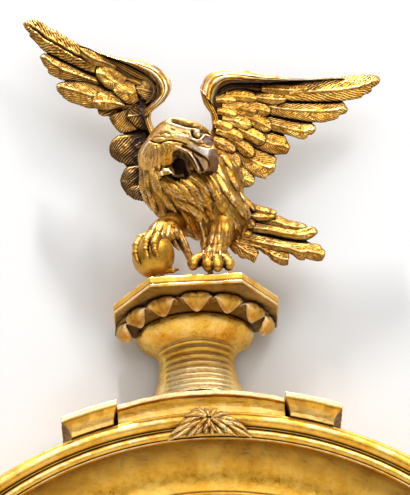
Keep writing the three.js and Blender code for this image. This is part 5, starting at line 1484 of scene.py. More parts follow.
def revolve(bk, prof, n, cx, c2, kind="z", wob=None, dirt_and_shade=None, rub=None, step=0.8, closed=False, sd=1.0, back=None):
    """A profile of (r, h) turned about a vertical axis (kind z, at x = cx, d = c2) or one square to the wall (kind y, at x = cx, z = c2)."""
    R = resample(prof, step, closed)
    I = R if closed else R[1:-1]
    m = len(I)
    t = np.roll(R, -1, 0) - np.roll(R, 1, 0)
    if not closed:
        t = np.gradient(R, axis=0)
    nr = np.stack([t[:, 1], -t[:, 0]], 1)
    nr /= np.linalg.norm(nr, axis=1)[:, None] + 1e-9
    q = np.vstack([R, R[:1]])
    if np.sum(q[:-1, 0] * q[1:, 1] - q[1:, 0] * q[:-1, 1]) < 0:
        nr = -nr
    if not closed:
        nr = nr[1:-1]
    th = np.linspace(0, TAU, n + 1)[:-1][:, None]
    r, h = np.broadcast_to(I[:, 0], (n, m)), np.broadcast_to(I[:, 1], (n, m))
    T = np.broadcast_to(th, (n, m))

    def place(r, h, T):
        if kind == "z":
            d = c2 + sd * r * np.sin(T)
            if back is not None:
                d = np.maximum(d, back)
            return np.stack([cx + r * np.cos(T), -d, h], -1)
        return np.stack([cx + r * np.cos(T), -h, c2 + r * np.sin(T)], -1)

    off = np.zeros((n, m)) if wob is None else wob(place(r, h, T), T, r, h)
    X = place(r + nr[:, 0] * off, h + nr[:, 1] * off, T)
    i, j = np.meshgrid(np.arange(n), np.arange(m if closed else m - 1), indexing="ij")
    a, b = i * m + j, ((i + 1) % n) * m + j
    c, e = ((i + 1) % n) * m + (j + 1) % m, i * m + (j + 1) % m
    F = [np.stack([a, b, c, e], -1).reshape(-1, 4)]
    V = X.reshape(-1, 3)
    N = n * m
    A = np.zeros(N) if dirt_and_shade is None else np.broadcast_to(dirt_and_shade(X, T, r, h), (n, m)).ravel()
    B = np.zeros(N) if rub is None else np.broadcast_to(rub(X, T, r, h), (n, m)).ravel()
    if not closed:
        p0, p1 = place(np.array(R[0, 0]), np.array(R[0, 1]), np.array(0.0)), place(np.array(R[-1, 0]), np.array(R[-1, 1]), np.array(0.0))
        V = np.vstack([V, p0, p1])
        k = np.arange(n)
        F.append(np.stack([np.full(n, N), ((k + 1) % n) * m, k * m], -1))
        F.append(np.stack([np.full(n, N + 1), k * m + m - 1, ((k + 1) % n) * m + m - 1], -1))
        A, B = np.r_[A, A[:1], A[-1:]], np.r_[B, B[:1], B[-1:]]
    add_solid(bk, V, F, A, B)


def rough(P, amp=0.3, scale=0.22, seed=1.0):
    """Worn, hand-cut unevenness as a vector offset."""
    o = np.stack([noise3(P, scale, seed + k) - 0.5 for k in range(3)], -1) + 0.4 * np.stack([noise3(P, scale * 4, seed + 5 + k) - 0.5 for k in range(3)], -1)
    return amp * o


def sweep_poly(bk, outline, profile, zf, free, step=1.3, pstep=0.8, amp=0.3, seed=1.0, dirt_and_shade=None, rub=None, caps=7):
    """Mouldings mitred round an outline of (x, d). profile: (inset, q); zf(x, d, q) gives the height."""
    O = np.asarray(outline, float)
    ne = len(O)
    if 0.5 * np.sum(O[:, 0] * np.roll(O[:, 1], -1) - np.roll(O[:, 0], -1) * O[:, 1]) < 0:
        O = O[::-1]
        free = list(free[:-1][::-1]) + [free[-1]]
    E = np.roll(O, -1, 0) - O
    Ln = np.linalg.norm(E, axis=1)
    U = E / Ln[:, None]
    Nn = np.stack([-U[:, 1], U[:, 0]], 1)

    def ring(k):
        out = []
        for i in range(ne):
            j = (i - 1) % ne
            p, q = O[j] + Nn[j] * k * free[j], O[i] + Nn[i] * k * free[i]
            M = np.array([U[j], -U[i]]).T
            s = np.linalg.solve(M, q - p)
            out.append(p + U[j] * s[0])
        return np.array(out)

    cnt = [max(2, int(l / step)) for l in Ln]

    def dense(C):
        o = []
        for i in range(ne):
            f = np.linspace(0, 1, cnt[i] + 1)[:-1, None]
            o.append(C[i] * (1 - f) + C[(i + 1) % ne] * f)
        return np.vstack(o)

    rows = []
    cen = O.mean(0)
    Pf = np.asarray(profile, float)
    first, last = dense(ring(Pf[0, 0])), dense(ring(Pf[-1, 0]))
    for f in np.linspace(0.02, 1, caps + 1)[:-1]:
        rows.append((cen + (first - cen) * f, Pf[0, 1]))
    for a, b in zip(Pf[:-1], Pf[1:]):
        za, zb = zf(cen[0], cen[1], a[1]), zf(cen[0], cen[1], b[1])
        k = max(1, int(math.hypot(b[0] - a[0], zb - za) / pstep))
        for i in range(k):
            w = a + (b - a) * i / k
            rows.append((dense(ring(w[0])), w[1]))
    rows.append((last, Pf[-1, 1]))
    for f in np.linspace(1, 0.02, caps + 1)[1:]:
        rows.append((cen + (last - cen) * f, Pf[-1, 1]))
    n, m = len(rows), len(first)
    X = np.stack([np.stack([r[:, 0], -r[:, 1], zf(r[:, 0], r[:, 1], q)], -1) for r, q in rows])
    X0 = X.copy()
    X = X + rough(X, amp, 0.2, seed)
    i, j = np.meshgrid(np.arange(n - 1), np.arange(m), indexing="ij")
    F = [np.stack([i * m + j, (i + 1) * m + j, (i + 1) * m + (j + 1) % m, i * m + (j + 1) % m], -1).reshape(-1, 4)]
    N = n * m
    V = np.vstack([X.reshape(-1, 3), X[0].mean(0), X[-1].mean(0)])
    k = np.arange(m)
    F.append(np.stack([np.full(m, N), k, (k + 1) % m], -1))
    F.append(np.stack([np.full(m, N + 1), (n - 1) * m + (k + 1) % m, (n - 1) * m + k], -1))
    Q = np.array([q for _, q in rows])[:, None] * np.ones((1, m))
    A = np.zeros((n, m)) if dirt_and_shade is None else dirt_and_shade(X0, Q)
    B = np.zeros((n, m)) if rub is None else rub(X0, Q)
    add_solid(bk, V, F, np.r_[A.ravel(), A[0, 0], A[-1, 0]], np.r_[B.ravel(), B[0, 0], B[-1, 0]])


def shell(bk, P, thick, A=None, R=None, ref=None):
    """A closed sheet of a given thickness behind a grid of points; ref is a direction the face looks along."""
    n, m = P.shape[:2]
    gu, gv = np.gradient(P, axis=0), np.gradient(P, axis=1)
    N = np.cross(gu, gv)
    N /= np.linalg.norm(N, axis=-1, keepdims=True) + 1e-9
    if ref is not None and np.sum(N.reshape(-1, 3) @ np.asarray(ref, float)) < 0:
        N = -N
    B = P - N * (thick[..., None] if np.ndim(thick) else thick)
    V = np.vstack([P.reshape(-1, 3), B.reshape(-1, 3)])
    K = n * m
    F = [grid_faces(n, m), grid_faces(n, m, True, K)]
    i = np.arange(n - 1)
    F.append(np.stack([i * m, K + i * m, K + (i + 1) * m, (i + 1) * m], -1)[:, ::-1][:, ::-1])
    F.append(np.stack([i * m + m - 1, (i + 1) * m + m - 1, K + (i + 1) * m + m - 1, K + i * m + m - 1], -1))
    j = np.arange(m - 1)
    F.append(np.stack([j, j + 1, K + j + 1, K + j], -1))
    F.append(np.stack([(n - 1) * m + j, K + (n - 1) * m + j, K + (n - 1) * m + j + 1, (n - 1) * m + j + 1], -1))
    a = np.zeros((n, m)) if A is None else A
    r = np.zeros((n, m)) if R is None else R
    add_solid(bk, V, F, np.r_[a.ravel(), np.full(K, 0.6)], np.r_[r.ravel(), np.zeros(K)])


def tube(bk, P, side, rad, n=20, closed=False, wob=None, dirt_and_shade=None):
    """A tube along points P lying in a plane square to side. rad: one radius for each point."""
    P = np.asarray(P, float)
    N = len(P)
    T = np.roll(P, -1, 0) - np.roll(P, 1, 0) if closed else np.gradient(P, axis=0)
    T /= np.linalg.norm(T, axis=1)[:, None]
    S = np.asarray(side, float) / np.linalg.norm(side)
    M = np.cross(S, T)
    M /= np.linalg.norm(M, axis=1)[:, None]
    a = np.linspace(0, TAU, n + 1)[:-1]
    r = np.broadcast_to(np.asarray(rad, float)[:, None] if np.ndim(rad) else rad, (N, n)).copy()
    s = np.r_[0, np.cumsum(np.linalg.norm(np.diff(P, axis=0), axis=1))]
    if wob is not None:
        r = r + wob(s[:, None], a[None, :])
    X = P[:, None] + r[..., None] * (np.cos(a)[None, :, None] * M[:, None] + np.sin(a)[None, :, None] * S)
    A = np.zeros((N, n)) if dirt_and_shade is None else dirt_and_shade(s[:, None], a[None, :]) * np.ones((N, n))
    i, j = np.meshgrid(np.arange(N if closed else N - 1), np.arange(n), indexing="ij")
    k = (i + 1) % N
    F = [np.stack([i * n + j, k * n + j, k * n + (j + 1) % n, i * n + (j + 1) % n], -1).reshape(-1, 4)]
    V = X.reshape(-1, 3)
    A = A.ravel()
    if not closed:
        V = np.vstack([V, P[0], P[-1]])
        q = np.arange(n)
        F.append(np.stack([np.full(n, N * n), q, (q + 1) % n], -1)[:, ::-1][:, ::-1])
        F.append(np.stack([np.full(n, N * n + 1), (N - 1) * n + (q + 1) % n, (N - 1) * n + q], -1))
        A = np.r_[A, 0, 0]
    add_solid(bk, V, F, A)


def worked(name, nodes, mat, body="root", bevel=0.5, cuts=2, amp=0.12, seed=1.0, scale=0.35):
    """A small sawn or forged piece: the construction's shape with softened edges, fine faces and tool marks."""
    bm = bmesh.new()
    bm.from_mesh(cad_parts[nodes].data)
    bmesh.ops.remove_doubles(bm, verts=bm.verts, dist=1e-6)
    bmesh.ops.dissolve_limit(bm, angle_limit=math.radians(3), verts=bm.verts, edges=bm.edges)
    edges = [e for e in bm.edges if len(e.link_faces) == 2 and e.calc_face_angle(0) > math.radians(28)]
    bmesh.ops.bevel(bm, geom=edges, offset=bevel * 0.001, segments=2, profile=0.5, affect="EDGES", clamp_overlap=True)
    bmesh.ops.triangulate(bm, faces=bm.faces[:])
    for _ in range(3):
        long = [e for e in bm.edges if e.calc_length() > (0.004 if cuts > 1 else 0.008)]
        if not long:
            break
        bmesh.ops.subdivide_edges(bm, edges=long, cuts=1, use_grid_fill=False)
        bmesh.ops.triangulate(bm, faces=[f for f in bm.faces if len(f.verts) > 3])
    co = np.array([v.co[:] for v in bm.verts]) * 1000
    off = rough(co, amp, scale, seed) * 0.001
    for v, o in zip(bm.verts, off):
        v.co += Vector(o)
    bmesh.ops.recalc_face_normals(bm, faces=bm.faces[:])
    me = bpy.data.meshes.new(name)
    bm.to_mesh(me)
    bm.free()
    at = me.attributes.new("dirt_and_shade", "FLOAT", "POINT")
    me.polygons.foreach_set("use_smooth", np.full(len(me.polygons), True))
    me.set_sharp_from_angle(angle=math.radians(42))
    return piece(name, me, mat, body, (nodes,))


# ------------------------------------------------------------------ neck with its sunk ribs, and the bell
CXM = -1.0
neck_z = [(49, 400.6), (48.6, 405), (47.5, 409), (46, 416), (42, 428), (39.5, 440), (38.6, 449), (39.2, 456), (41.4, 461.5)]
bell_z = [(41.4, 461.5), (47.0, 464.4), (52.6, 468.0), (57.0, 472.2), (59.8, 476.6), (60.8, 480.4), (60.4, 482.6), (58.6, 484.4), (56.6, 485.2)]


def neck_piece():
    prof = np.array(neck_z + bell_z[1:])
    k = 1.0
    z = np.arange(400.6, 485.2, 0.62 * k)
    z = np.r_[z, 485.2]
    # smooth curve through the profile
    zz, rr = prof[:, 1], prof[:, 0]
    r = np.interp(z, zz, rr)
    for _ in range(3):
        r = np.convolve(np.pad(r, 3, mode="reflect", reflect_type="odd"), np.array([1, 2, 3, 4, 3, 2, 1]) / 16, "valid")
    r[-1] = 56.6
    sd = 0.86 + 0.06 * smooth(448, 480, z) - 0.05 * smooth(430, 402, z)
    n = 420
    th = np.linspace(0, TAU, n + 1)[:-1]
    Z, T = np.meshgrid(z, th)
    Rr, SD = np.broadcast_to(r, Z.shape), np.broadcast_to(sd, Z.shape)
    X = CXM + Rr * np.cos(T)
    D = 12 + SD * Rr * np.sin(T)
    P = np.stack([X, -D, Z], -1)
    q = to_px(P)
    # heights of the grooves, found where the front of the neck crosses the picture's rows
    fr = np.stack([np.full_like(z, 2.0), -(12 + sd * r), z], -1)
    py = to_px(fr)[:, 1]
    gz = np.interp([338.3, 344.6, 351.8, 358.6, 364.2, 369.6, 375.0, 380.2, 385.2, 390.5], py[::-1], z[::-1])
    h = np.zeros(Z.shape)
    dirt_and_shade = np.zeros(Z.shape)
    dx = np.abs(X - CXM - 0.6)
    front = smooth(0.12, 0.3, np.sin(T))
    wpan = 31.6 + 9.0 * smooth(gz[1] - 0.4, gz[1] + 0.8, Z + 1.0 * (dx / 31.6) ** 2)
    sf = 1.7 + 3.2 * smooth(436, 418, Z)
    panel = smooth(wpan + sf, wpan - sf, dx) * front
    top, bot = gz[0], gz[-1]
    inz = smooth(top + 0.5, top - 0.7, Z + 1.0 * (dx / 31.6) ** 2)
    panel = panel * inz
    Za = Z + 1.0 * (dx / 31.6) ** 2 * smooth(400, 440, Z)
    rel = np.full(Z.shape, -1.0)
    groove_shade = np.zeros(Z.shape)
    for i in range(len(gz) - 1):
        a, b = gz[i], gz[i + 1]
        u = (a - Za) / (a - b)
        m = (u >= 0) & (u < 1)
        amp = (3.2, 3.8, 3.5, 3.0, 2.0, 1.8, 1.6, 1.4, 1.3)[i]
        s = np.abs(np.sin(math.pi * np.clip(u + 0.05 * (noise1(X / 7.0, 66.0 + i) - 0.5), 0, 1))) ** (0.85 if i < 4 else 0.6)
        rel = np.where(m, -1.9 + amp * s, rel)
        groove_shade = np.where(m, (1 - s) ** (0.55 if i < 4 else 1.1) * (1.0 if i < 4 else 0.6), groove_shade)
    rel = np.where(Z < bot, -0.9, rel)
    h = h + panel * rel
    # ridge that frames the panel, and the throat groove above it
    rim = np.exp(-((dx - wpan - 1.6) / 1.3) ** 2) * front * smooth(top + 3, top - 2, Z)
    h = h + 0.3 * rim * smooth(425, 445, Z)
    Zt = Z + 1.0 * (dx / 31.6) ** 2
    h = h - 1.2 * np.exp(-((Zt - top - 0.2) / 0.8) ** 2) * smooth(41, 37, dx) * front
    edge = np.exp(-((dx - wpan) / 1.0) ** 2) * front * smooth(top + 1, top - 2, Z)
    # painted shade in the rib grooves, along the panel's edge and in the throat groove
    dirt_and_shade = dirt_and_shade + panel * groove_shade * 0.95 + 0.42 * edge * smooth(432, 450, Z) + 0.6 * np.exp(-((Zt - top - 0.2) / 0.9) ** 2) * smooth(41, 37, dx) * front
    # painted shade at the top of the bell under the leaves and on the sides and back of the lower neck; grime in random
    # patches
    dirt_and_shade = dirt_and_shade + 0.55 * smooth(480.5, 485, Z) + 0.10 * noise3(P, 0.12, 61.0)
    dirt_and_shade = dirt_and_shade + 0.35 * smooth(0.35, -0.05, np.sin(T)) * smooth(470, 440, Z)
    h = h + 0.28 * (noise3(P, 0.12, 62.0) - 0.5) + 0.22 * (noise3(P, 0.4, 63.0) - 0.5) * (Z < 470)
    # pale worn leaf and painted highlight on the ribs and the lower front
    rubv = np.maximum(panel * smooth(452, 430, Z), 0.6 * front * smooth(432, 412, Z)) * 0.6 * np.clip(1 - groove_shade * 1.4, 0, 1)
    N2 = np.stack([np.cos(T), -np.sin(T) / SD, np.zeros_like(T)], -1)
    N2 /= np.linalg.norm(N2, axis=-1, keepdims=True)
    P = P + N2 * h[..., None]
    P[..., 1] = np.minimum(P[..., 1], -10.3)
    # the foot follows the platform's curved top
    low = Z < 409
    zt = 133.3 + np.sqrt(np.maximum(272.0 ** 2 - P[..., 0] ** 2, 0))
    P[..., 2] = np.where(low, np.maximum(409 - (409 - Z) * (409 - zt) / (409 - 400.6), zt), P[..., 2])
    nn, m = P.shape[:2]
    i, j = np.meshgrid(np.arange(nn), np.arange(m - 1), indexing="ij")
    k2 = (i + 1) % nn
    F = [np.stack([i * m + j, k2 * m + j, k2 * m + j + 1, i * m + j + 1], -1).reshape(-1, 4)]
    V = np.vstack([P.reshape(-1, 3), [CXM, -25, 405.2], [CXM, -25, 485.2]])
    K = nn * m
    a = np.arange(nn)
    F.append(np.stack([np.full(nn, K), a * m, ((a + 1) % nn) * m], -1))
    F.append(np.stack([np.full(nn, K + 1), ((a + 1) % nn) * m + m - 1, a * m + m - 1], -1))
    bk = Bucket()
    add_solid(bk, V, F, np.r_[np.clip(dirt_and_shade, 0, 1).ravel(), 0, 1], np.r_[rubv.ravel(), 0, 0])
    return bk.build("neck_carving", GOLD_NECK, "root", ("neck",), "giltwood")


def leaf_ring_piece():
    bk = Bucket()
    # ground behind the leaves, painted dark outside the bell as shade between the leaves
    revolve(bk, [(54.4, 484.6), (54.4, 489.2), (82, 489.2), (79, 487.6), (66, 486.2), (58, 484.2)], 260, CXM, 12, step=1.2, closed=True, back=10.3,
            dirt_and_shade=lambda X, T, r, h: 0.95 * smooth(52, 60, r) + 0 * r)
    # root, rise, curl and tip of a leaf, as radius and height
    mid = crom([(56.5, 486.6), (66, 488.6), (76, 488.9), (83.5, 488.2), (86.6, 486.0), (85.8, 483.0), (81.6, 480.0), (76.8, 478.0), (73.6, 477.2)], 64)
    n = len(mid)
    s = np.linspace(0, 1, n)
    m = 35
    t = np.linspace(-1, 1, m)
    tg = np.gradient(mid, axis=0)
    tg /= np.linalg.norm(tg, axis=1)[:, None]
    nr = np.stack([tg[:, 1], -tg[:, 0]], 1)
    for k in range(-3, 4):
        seed = 700.0 + k
        ang = math.radians(26.5 * k + 3 * (hash01(seed) - 0.5) - 0.5)
        u = np.clip((s - 0.42) / 0.58, 0, 1)
        w = math.radians(13.1) * (0.86 + 0.14 * smooth(0, 0.4, s)) * np.power(np.maximum(1 - u ** 1.9, 0), 0.62)
        w = np.maximum(w, 0.008)
        tt = t[None, :]
        a = ang + w[:, None] * tt
        # spoon with a raised rim, a vein down the middle and nicks at the edge
        dip = -4.6 * (1 - np.abs(tt) ** 2.6) * smooth(0.10, 0.55, s)[:, None] * np.minimum(1, w / 0.06)[:, None]
        vein = 0.9 * np.exp(-(tt / 0.11) ** 2) * smooth(0.2, 0.6, s)[:, None] * smooth(1.0, 0.75, s)[:, None]
        lobes = 0.35 * np.cos(TAU * (s[:, None] * 3.2 + 0.55 * np.abs(tt))) * np.abs(tt) ** 1.5 * smooth(0.2, 0.5, s)[:, None]
        roll = 1.7 * np.abs(tt) ** 6 * smooth(0.2, 0.6, s)[:, None]
        off = dip + vein + lobes + roll
        jit = 1 + 0.05 * (noise1(s * 4, seed) - 0.5)[:, None]
        r = (mid[:, 0][:, None] - nr[:, 0][:, None] * off * -1) * jit ** 0.3
        z = mid[:, 1][:, None] + nr[:, 1][:, None] * off
        # the ring of leaves is an oval, a little narrower across than deep, kept in front of d = 10.4 mm
        x = CXM + 0.5 + 0.895 * r * np.sin(a)
        d = np.maximum(12 + r * np.cos(a), 10.4)
        P = np.stack([x, -d, np.minimum(z, 489.1)], -1)
        P = P + rough(P, 0.5, 0.2, seed)
        # painted shade in the spoon's hollow and at the root; painted highlight on the rolled rim and the curled tip
        A = 0.42 * (1 - np.abs(tt) ** 1.5) * smooth(0.3, 0.55, s)[:, None] * smooth(1.02, 0.8, s)[:, None] + 0.5 * smooth(0.5, 0.2, s)[:, None] + 0 * tt
        rim_highlight = np.abs(tt) ** 4 * smooth(0.40, 0.6, s)[:, None] * 1.0 + 0.7 * smooth(0.84, 0.96, s)[:, None]
        shell(bk, P, 2.4, np.clip(A, 0, 1), np.clip(rim_highlight, 0, 1), ref=None)
    return bk.build("leaf_petals", GOLD_DARK, "root", ("leaf_ring",), "giltwood")


def plinth_piece():
    bk = Bucket()
    W_, FW, FR, SD_ = 83.6, 46.4, 116.0, 59.5
    ox = CXM + 1.5
    out = [(ox - W_, 10.3), (ox + W_, 10.3), (ox + W_, SD_), (ox + FW, FR), (ox - FW, FR), (ox - W_, SD_)]
    free = [0, 1, 1, 1, 1, 1]
    z0 = 489.7
    prof = [(0.9, 500.8), (0.3, 500.5), (0.05, 499.8), (0.0, 498.5), (0.2, 494.6), (0.5, 493.8), (1.0, 493.45), (1.5, 493.3), (1.3, 493.05), (0.5, 492.8),
            (0.05, 492.2), (0.0, 491.2), (0.25, 490.4), (0.8, 489.9), (1.6, 489.7), (3.0, 489.72)]

    def dirt_and_shade(X, Q):
        # painted shade in the quirk, on the underside and most near the bell, with grime in streaks there; the top face
        # a little darker
        g = np.exp(-((Q - 493.3) / 0.4) ** 2) * 0.7
        under = (Q < 489.75) * (0.34 + 0.45 * noise3(X, 0.06, 71.0) + 0.2 * smooth(0.55, 0.75, noise3(X, 0.25, 72.0)))
        rr = np.hypot(X[..., 0] - CXM, X[..., 1] + 12)
        under = under + (Q < 489.75) * 0.45 * smooth(94, 82, rr)
        top = (Q > 500.7) * 0.35
        return np.clip(g + under + top + 0.10 * noise3(X, 0.15, 73.0), 0, 1)

    def rub(X, Q):
        # worn leaf and painted highlight on the two fillets
        n = noise3(X, 0.10, 74.0)
        return np.clip((np.exp(-((Q - 499.6) / 0.8) ** 2) * 0.9 * smooth(0.35, 0.6, n) + np.exp(-((Q - 491.4) / 1.2) ** 2) * 1.0 * smooth(0.15, 0.4, n)), 0, 1)

    sweep_poly(bk, out, prof, lambda x, d, q: q + 0 * x, free, 1.25, 0.5, 0.30, 75.0, dirt_and_shade, rub, caps=26)
    return bk.build("plinth_mouldings", GOLD_FRAME, "root", ("plinth",), "giltwood")


def platform_pieces():
    # middle: swept along x between two arcs
    k = 1.0
    prof = [(0.0, 10.3), (0.0, 49.0), (0.012, 49.7), (0.04, 50.0), (0.20, 50.0), (0.225, 49.6), (0.24, 48.6), (0.262, 46.9), (0.30, 45.9), (0.36, 45.4), (0.42, 44.6), (0.5, 43.7),
            (0.62, 43.05), (0.8, 42.9), (1.0, 43.0), (1.0, 10.3)]
    P = np.array([(a * 24.4, b) for a, b in prof])
    R = resample(P, 0.6 * k, True)
    x = np.linspace(-83.7, 83.7, int(168 / (0.9 * k)))
    zt = 133 + np.sqrt(272.0 ** 2 - x ** 2)
    zb = np.sqrt(380.6 ** 2 - x ** 2)
    Q = R[:, 0] / 24.4
    Z = zt[:, None] * (1 - Q) + zb[:, None] * Q
    X = np.stack([np.broadcast_to(x[:, None], Z.shape), -np.broadcast_to(R[:, 1], Z.shape), Z], -1)
    X0 = X
    X = X + rough(X, 0.45, 0.12, 81.0)
    n, m = X.shape[:2]
    i, j = np.meshgrid(np.arange(n - 1), np.arange(m), indexing="ij")
    F = [np.stack([i * m + j, (i + 1) * m + j, (i + 1) * m + (j + 1) % m, i * m + (j + 1) % m], -1).reshape(-1, 4)]
    V = np.vstack([X.reshape(-1, 3), X[0].mean(0), X[-1].mean(0)])
    K = n * m
    a = np.arange(m)
    F.append(np.stack([np.full(m, K), (a + 1) % m, a], -1))
    F.append(np.stack([np.full(m, K + 1), (n - 1) * m + a, (n - 1) * m + (a + 1) % m], -1))
    fr = (R[:, 1] > 40)[None, :]
    n1 = noise3(X0, 0.09, 82.0)
    n2 = noise3(X0 * np.array([0.35, 1, 1.6]), 0.3, 83.0)
    # painted shade in the cove line, the narrow line and where the face meets the ring, with grime in streaks; worn
    # leaf and painted highlight on the top fillet and in patches on the lower face
    A = fr * (0.75 * np.exp(-((Q - 0.262) / 0.022) ** 2)[None, :] * (0.5 + n1) + 0.28 * np.exp(-((Q - 0.42) / 0.05) ** 2)[None, :] + 0.30 * smooth(0.56, 0.7, n2) + 0.35 * smooth(0.93, 1.0, Q)[None, :])
    B = fr * ((Q < 0.215)[None, :] * (0.75 + 0.3 * n1) + 0.40 * (Q > 0.5)[None, :] * n1)
    bk = Bucket()
    add_solid(bk, V, F, np.r_[np.clip(A, 0, 1).ravel(), 0.4, 0.4], np.r_[np.clip(B, 0, 1).ravel(), 0, 0])
    bk.build("platform_middle_moulding", GOLD_FRAME, "root", ("platform_middle",), "giltwood")
    for side, s in (("left", -1), ("right", 1)):
        xa, xb = (84, 140) if s > 0 else (-140, -84)
        out = [(xa, 10.3), (xb, 10.3), (xb, 62), (xa, 62)]
        prof = [(0.7, 0.0), (0.2, 0.012), (0.0, 0.04), (0.0, 0.235), (0.25, 0.262), (1.2, 0.29), (2.6, 0.35), (4.6, 0.43), (6.6, 0.54), (8.1, 0.67), (9.0, 0.80), (9.4, 0.92), (9.5, 1.0)]

        def zf(x, d, q):
            x = np.clip(x, -150, 150)
            return np.sqrt(402.0 ** 2 - x ** 2) * (1 - q) + np.sqrt(380.6 ** 2 - x ** 2) * q

        def dirt_and_shade(X, Q):
            n = noise3(X, 0.12, 85.0 + s)
            kk = np.interp(Q + 0 * X[..., 0], [p[1] for p in prof], [p[0] for p in prof])
            # painted shade on the end returns and in the cove line; grime in patches
            end = (np.abs(X[..., 0]) > 139.4 - kk) * smooth(-61.2, -58.5, X[..., 1] - kk)
            return np.clip(0.6 * np.exp(-((Q - 0.30) / 0.03) ** 2) + 0.35 * smooth(0.5, 0.75, n) * (Q > 0.3) + 0.80 * end * (Q > 0.25) * (Q < 1), 0, 1)

        def rub(X, Q):
            # worn leaf and painted highlight on the top fillet and along the lower front
            n = noise3(X, 0.10, 86.0 + s)
            return np.clip((Q > 0.005) * (Q < 0.24) * (0.55 + 0.6 * n) + 0.35 * (Q > 0.5) * (Q < 1) * n * (X[..., 1] < -50), 0, 1)

        bk = Bucket()
        sweep_poly(bk, out, prof, zf, [0, 1, 1, 0.45] if s > 0 else [0, 0.45, 1, 1], 1.1, 0.6, 0.5, 87.0 + s, dirt_and_shade, rub, caps=10)
        bk.build(f"platform_block_{side}_moulding", GOLD_FRAME, "root", (f"platform_block_{side}",), "giltwood")


def clasp_piece():
    bk = Bucket()
    base = [(184, 411), (194, 409.5), (206, 408), (216, 409), (226, 414), (236, 420), (246, 430), (250, 436), (240, 437), (230, 435), (218, 434), (206, 432.5), (194, 434),
            (182, 437), (171, 439), (170, 433), (177, 425)]
    v = slab_volume(base, 56.6, 59.6, 0.8, 90.0, 1.4)
    V, Q = v.mesh()
    # the ground behind the leaves is painted dark as shade
    bk.add(V, [Q], np.full(len(V), 0.85))
    L = [
        # lower tier, drawn out to both sides
        ([(196, 424), (186, 430), (177, 436), (167, 441)], 2.6, (61.5, 60)), ([(193, 421), (184, 426), (175, 431.5), (169, 436)], 2.8, (62, 60.5)),
        ([(200, 426), (193, 432), (186, 438)], 2.8, (61.5, 60)), ([(203, 426), (198, 431.5), (194, 436)], 2.6, (61.5, 60)), ([(207, 426), (206, 431), (205, 435.5)], 2.8, (61.5, 60.2)),
        ([(211, 426), (212, 431), (214, 436)], 2.5, (61.5, 60.2)), ([(215, 425), (219, 430.5), (225, 435.5)], 2.8, (61.5, 60)), ([(220, 424), (228, 430), (238, 436.5)], 2.8, (61.5, 60)),
        ([(224, 422), (234, 427.5), (245, 433.5), (252, 438)], 2.6, (62, 60)), ([(226, 419.5), (236, 423.5), (244, 428), (249, 433.5)], 2.6, (62, 60.2)),
        # middle tier
        ([(203, 420), (193, 423.5), (184, 428.5)], 3.0, (63.5, 62)), ([(205, 421), (198, 426), (192, 431.5)], 2.8, (63.5, 62)), ([(208, 421), (206, 426.5), (203, 431)], 2.8, (64, 62)),
        ([(211, 421), (213, 426), (217, 431.5)], 2.6, (64, 62)), ([(214, 420), (221, 424.5), (230, 430.5)], 2.8, (63.5, 62)), ([(216, 418), (226, 421.5), (237, 427)], 3.0, (63.5, 62)),
        ([(200, 417), (190, 419), (180, 424.5)], 3.0, (63, 61.5)), ([(219, 416.5), (229, 418), (237, 421)], 2.6, (63, 61.5)),
        # upper lobes
        ([(206, 416), (196, 413), (184, 416.5)], 3.6, (65, 62.5)), ([(207, 415), (199, 410), (190, 411)], 3.0, (64.5, 62.5)), ([(209, 416), (207, 411), (204, 407.5)], 2.8, (65, 62.5)),
        ([(211, 416), (214, 411), (217, 408.5)], 3.2, (65.5, 63)), ([(212, 417), (221, 413.5), (229, 414)], 3.0, (65, 62.5)), ([(209, 418), (209, 422), (209.5, 427)], 3.0, (66, 64)),
        ([(207, 418), (202, 421.5), (197, 425)], 2.4, (66, 64)), ([(211, 418), (217, 421), (223, 424.5)], 2.4, (66, 64)),
    ]
    for j, (sp, hw, d) in enumerate(L):
        A, B = quill(sp, hw, 0.5, 0.7, 1.8, point=0.35)
        blade(bk, A, B, d, 740.0 + j, sp=2.3, amp=1.1, crown=2.4, rh=0.3, rw=0.5, ser=1.6, slope=1.1, res=0.42, thick=3.2, shade=0.0, edge=1.6, bow=1.4, rub=1.0, ed=0.12)
    return bk.build("leaf_clasp_carving", GOLD_CLASP, "root", ("leaf_clasp",), "giltwood")


neck_piece()
leaf_ring_piece()
plinth_piece()
platform_pieces()
clasp_piece()


# ------------------------------------------------------------------ slip, plate and back
def slip_wob(X, T, r, h):
    return 0.16 * (noise3(X, 0.12, 101.0) - 0.5) + 0.07 * (noise3(X, 0.6, 102.0) - 0.5)


slip = [(282.6, 10.3), (298.2, 10.3), (298.2, 22.4), (297.2, 23.2)]
for c_ in (294.6, 289.4, 284.2):
    slip += [(c_ + 2.4 * math.cos(math.radians(a)), 23.3 + 3.2 * math.sin(math.radians(a))) for a in (0, 20, 40, 60, 80, 100, 120, 140, 160, 180)]
slip += [(280.2, 23.7), (278.4, 23.5), (274.6, 23.1), (271.6, 22.3), (269.4, 21.4), (268.6, 20.4), (268.5, 17.9), (277.6, 15.8), (282.6, 15.8)]
bk_ = Bucket()
revolve(bk_, slip, 620, 0, 0, "y", slip_wob, lambda X, T, r, h: 0 * r, None, 1.1, True)
bk_.build("slip_reeded", EBONY, "root", ("mirror_slip",), "ebonised_wood")

RS = (277.0 ** 2 + 29.0 ** 2) / 58.0
fr_ = [(r, 12.2 + math.sqrt(RS * RS - r * r) - (RS - 29)) for r in np.linspace(0, 277, 90)]
ba_ = [(r, 15.2 + math.sqrt(RS * RS - r * r) - (RS - 29)) for r in np.linspace(275.6, 0, 90)]
bk_ = Bucket()
revolve(bk_, fr_ + [(277.0, 13.2), (276.8, 14.2)] + ba_, 240, 0, 0, "y", None, None, None, 9.0)
bk_.build("convex_plate", GLASS, "root", ("mirror_plate",), "mirror_plate")


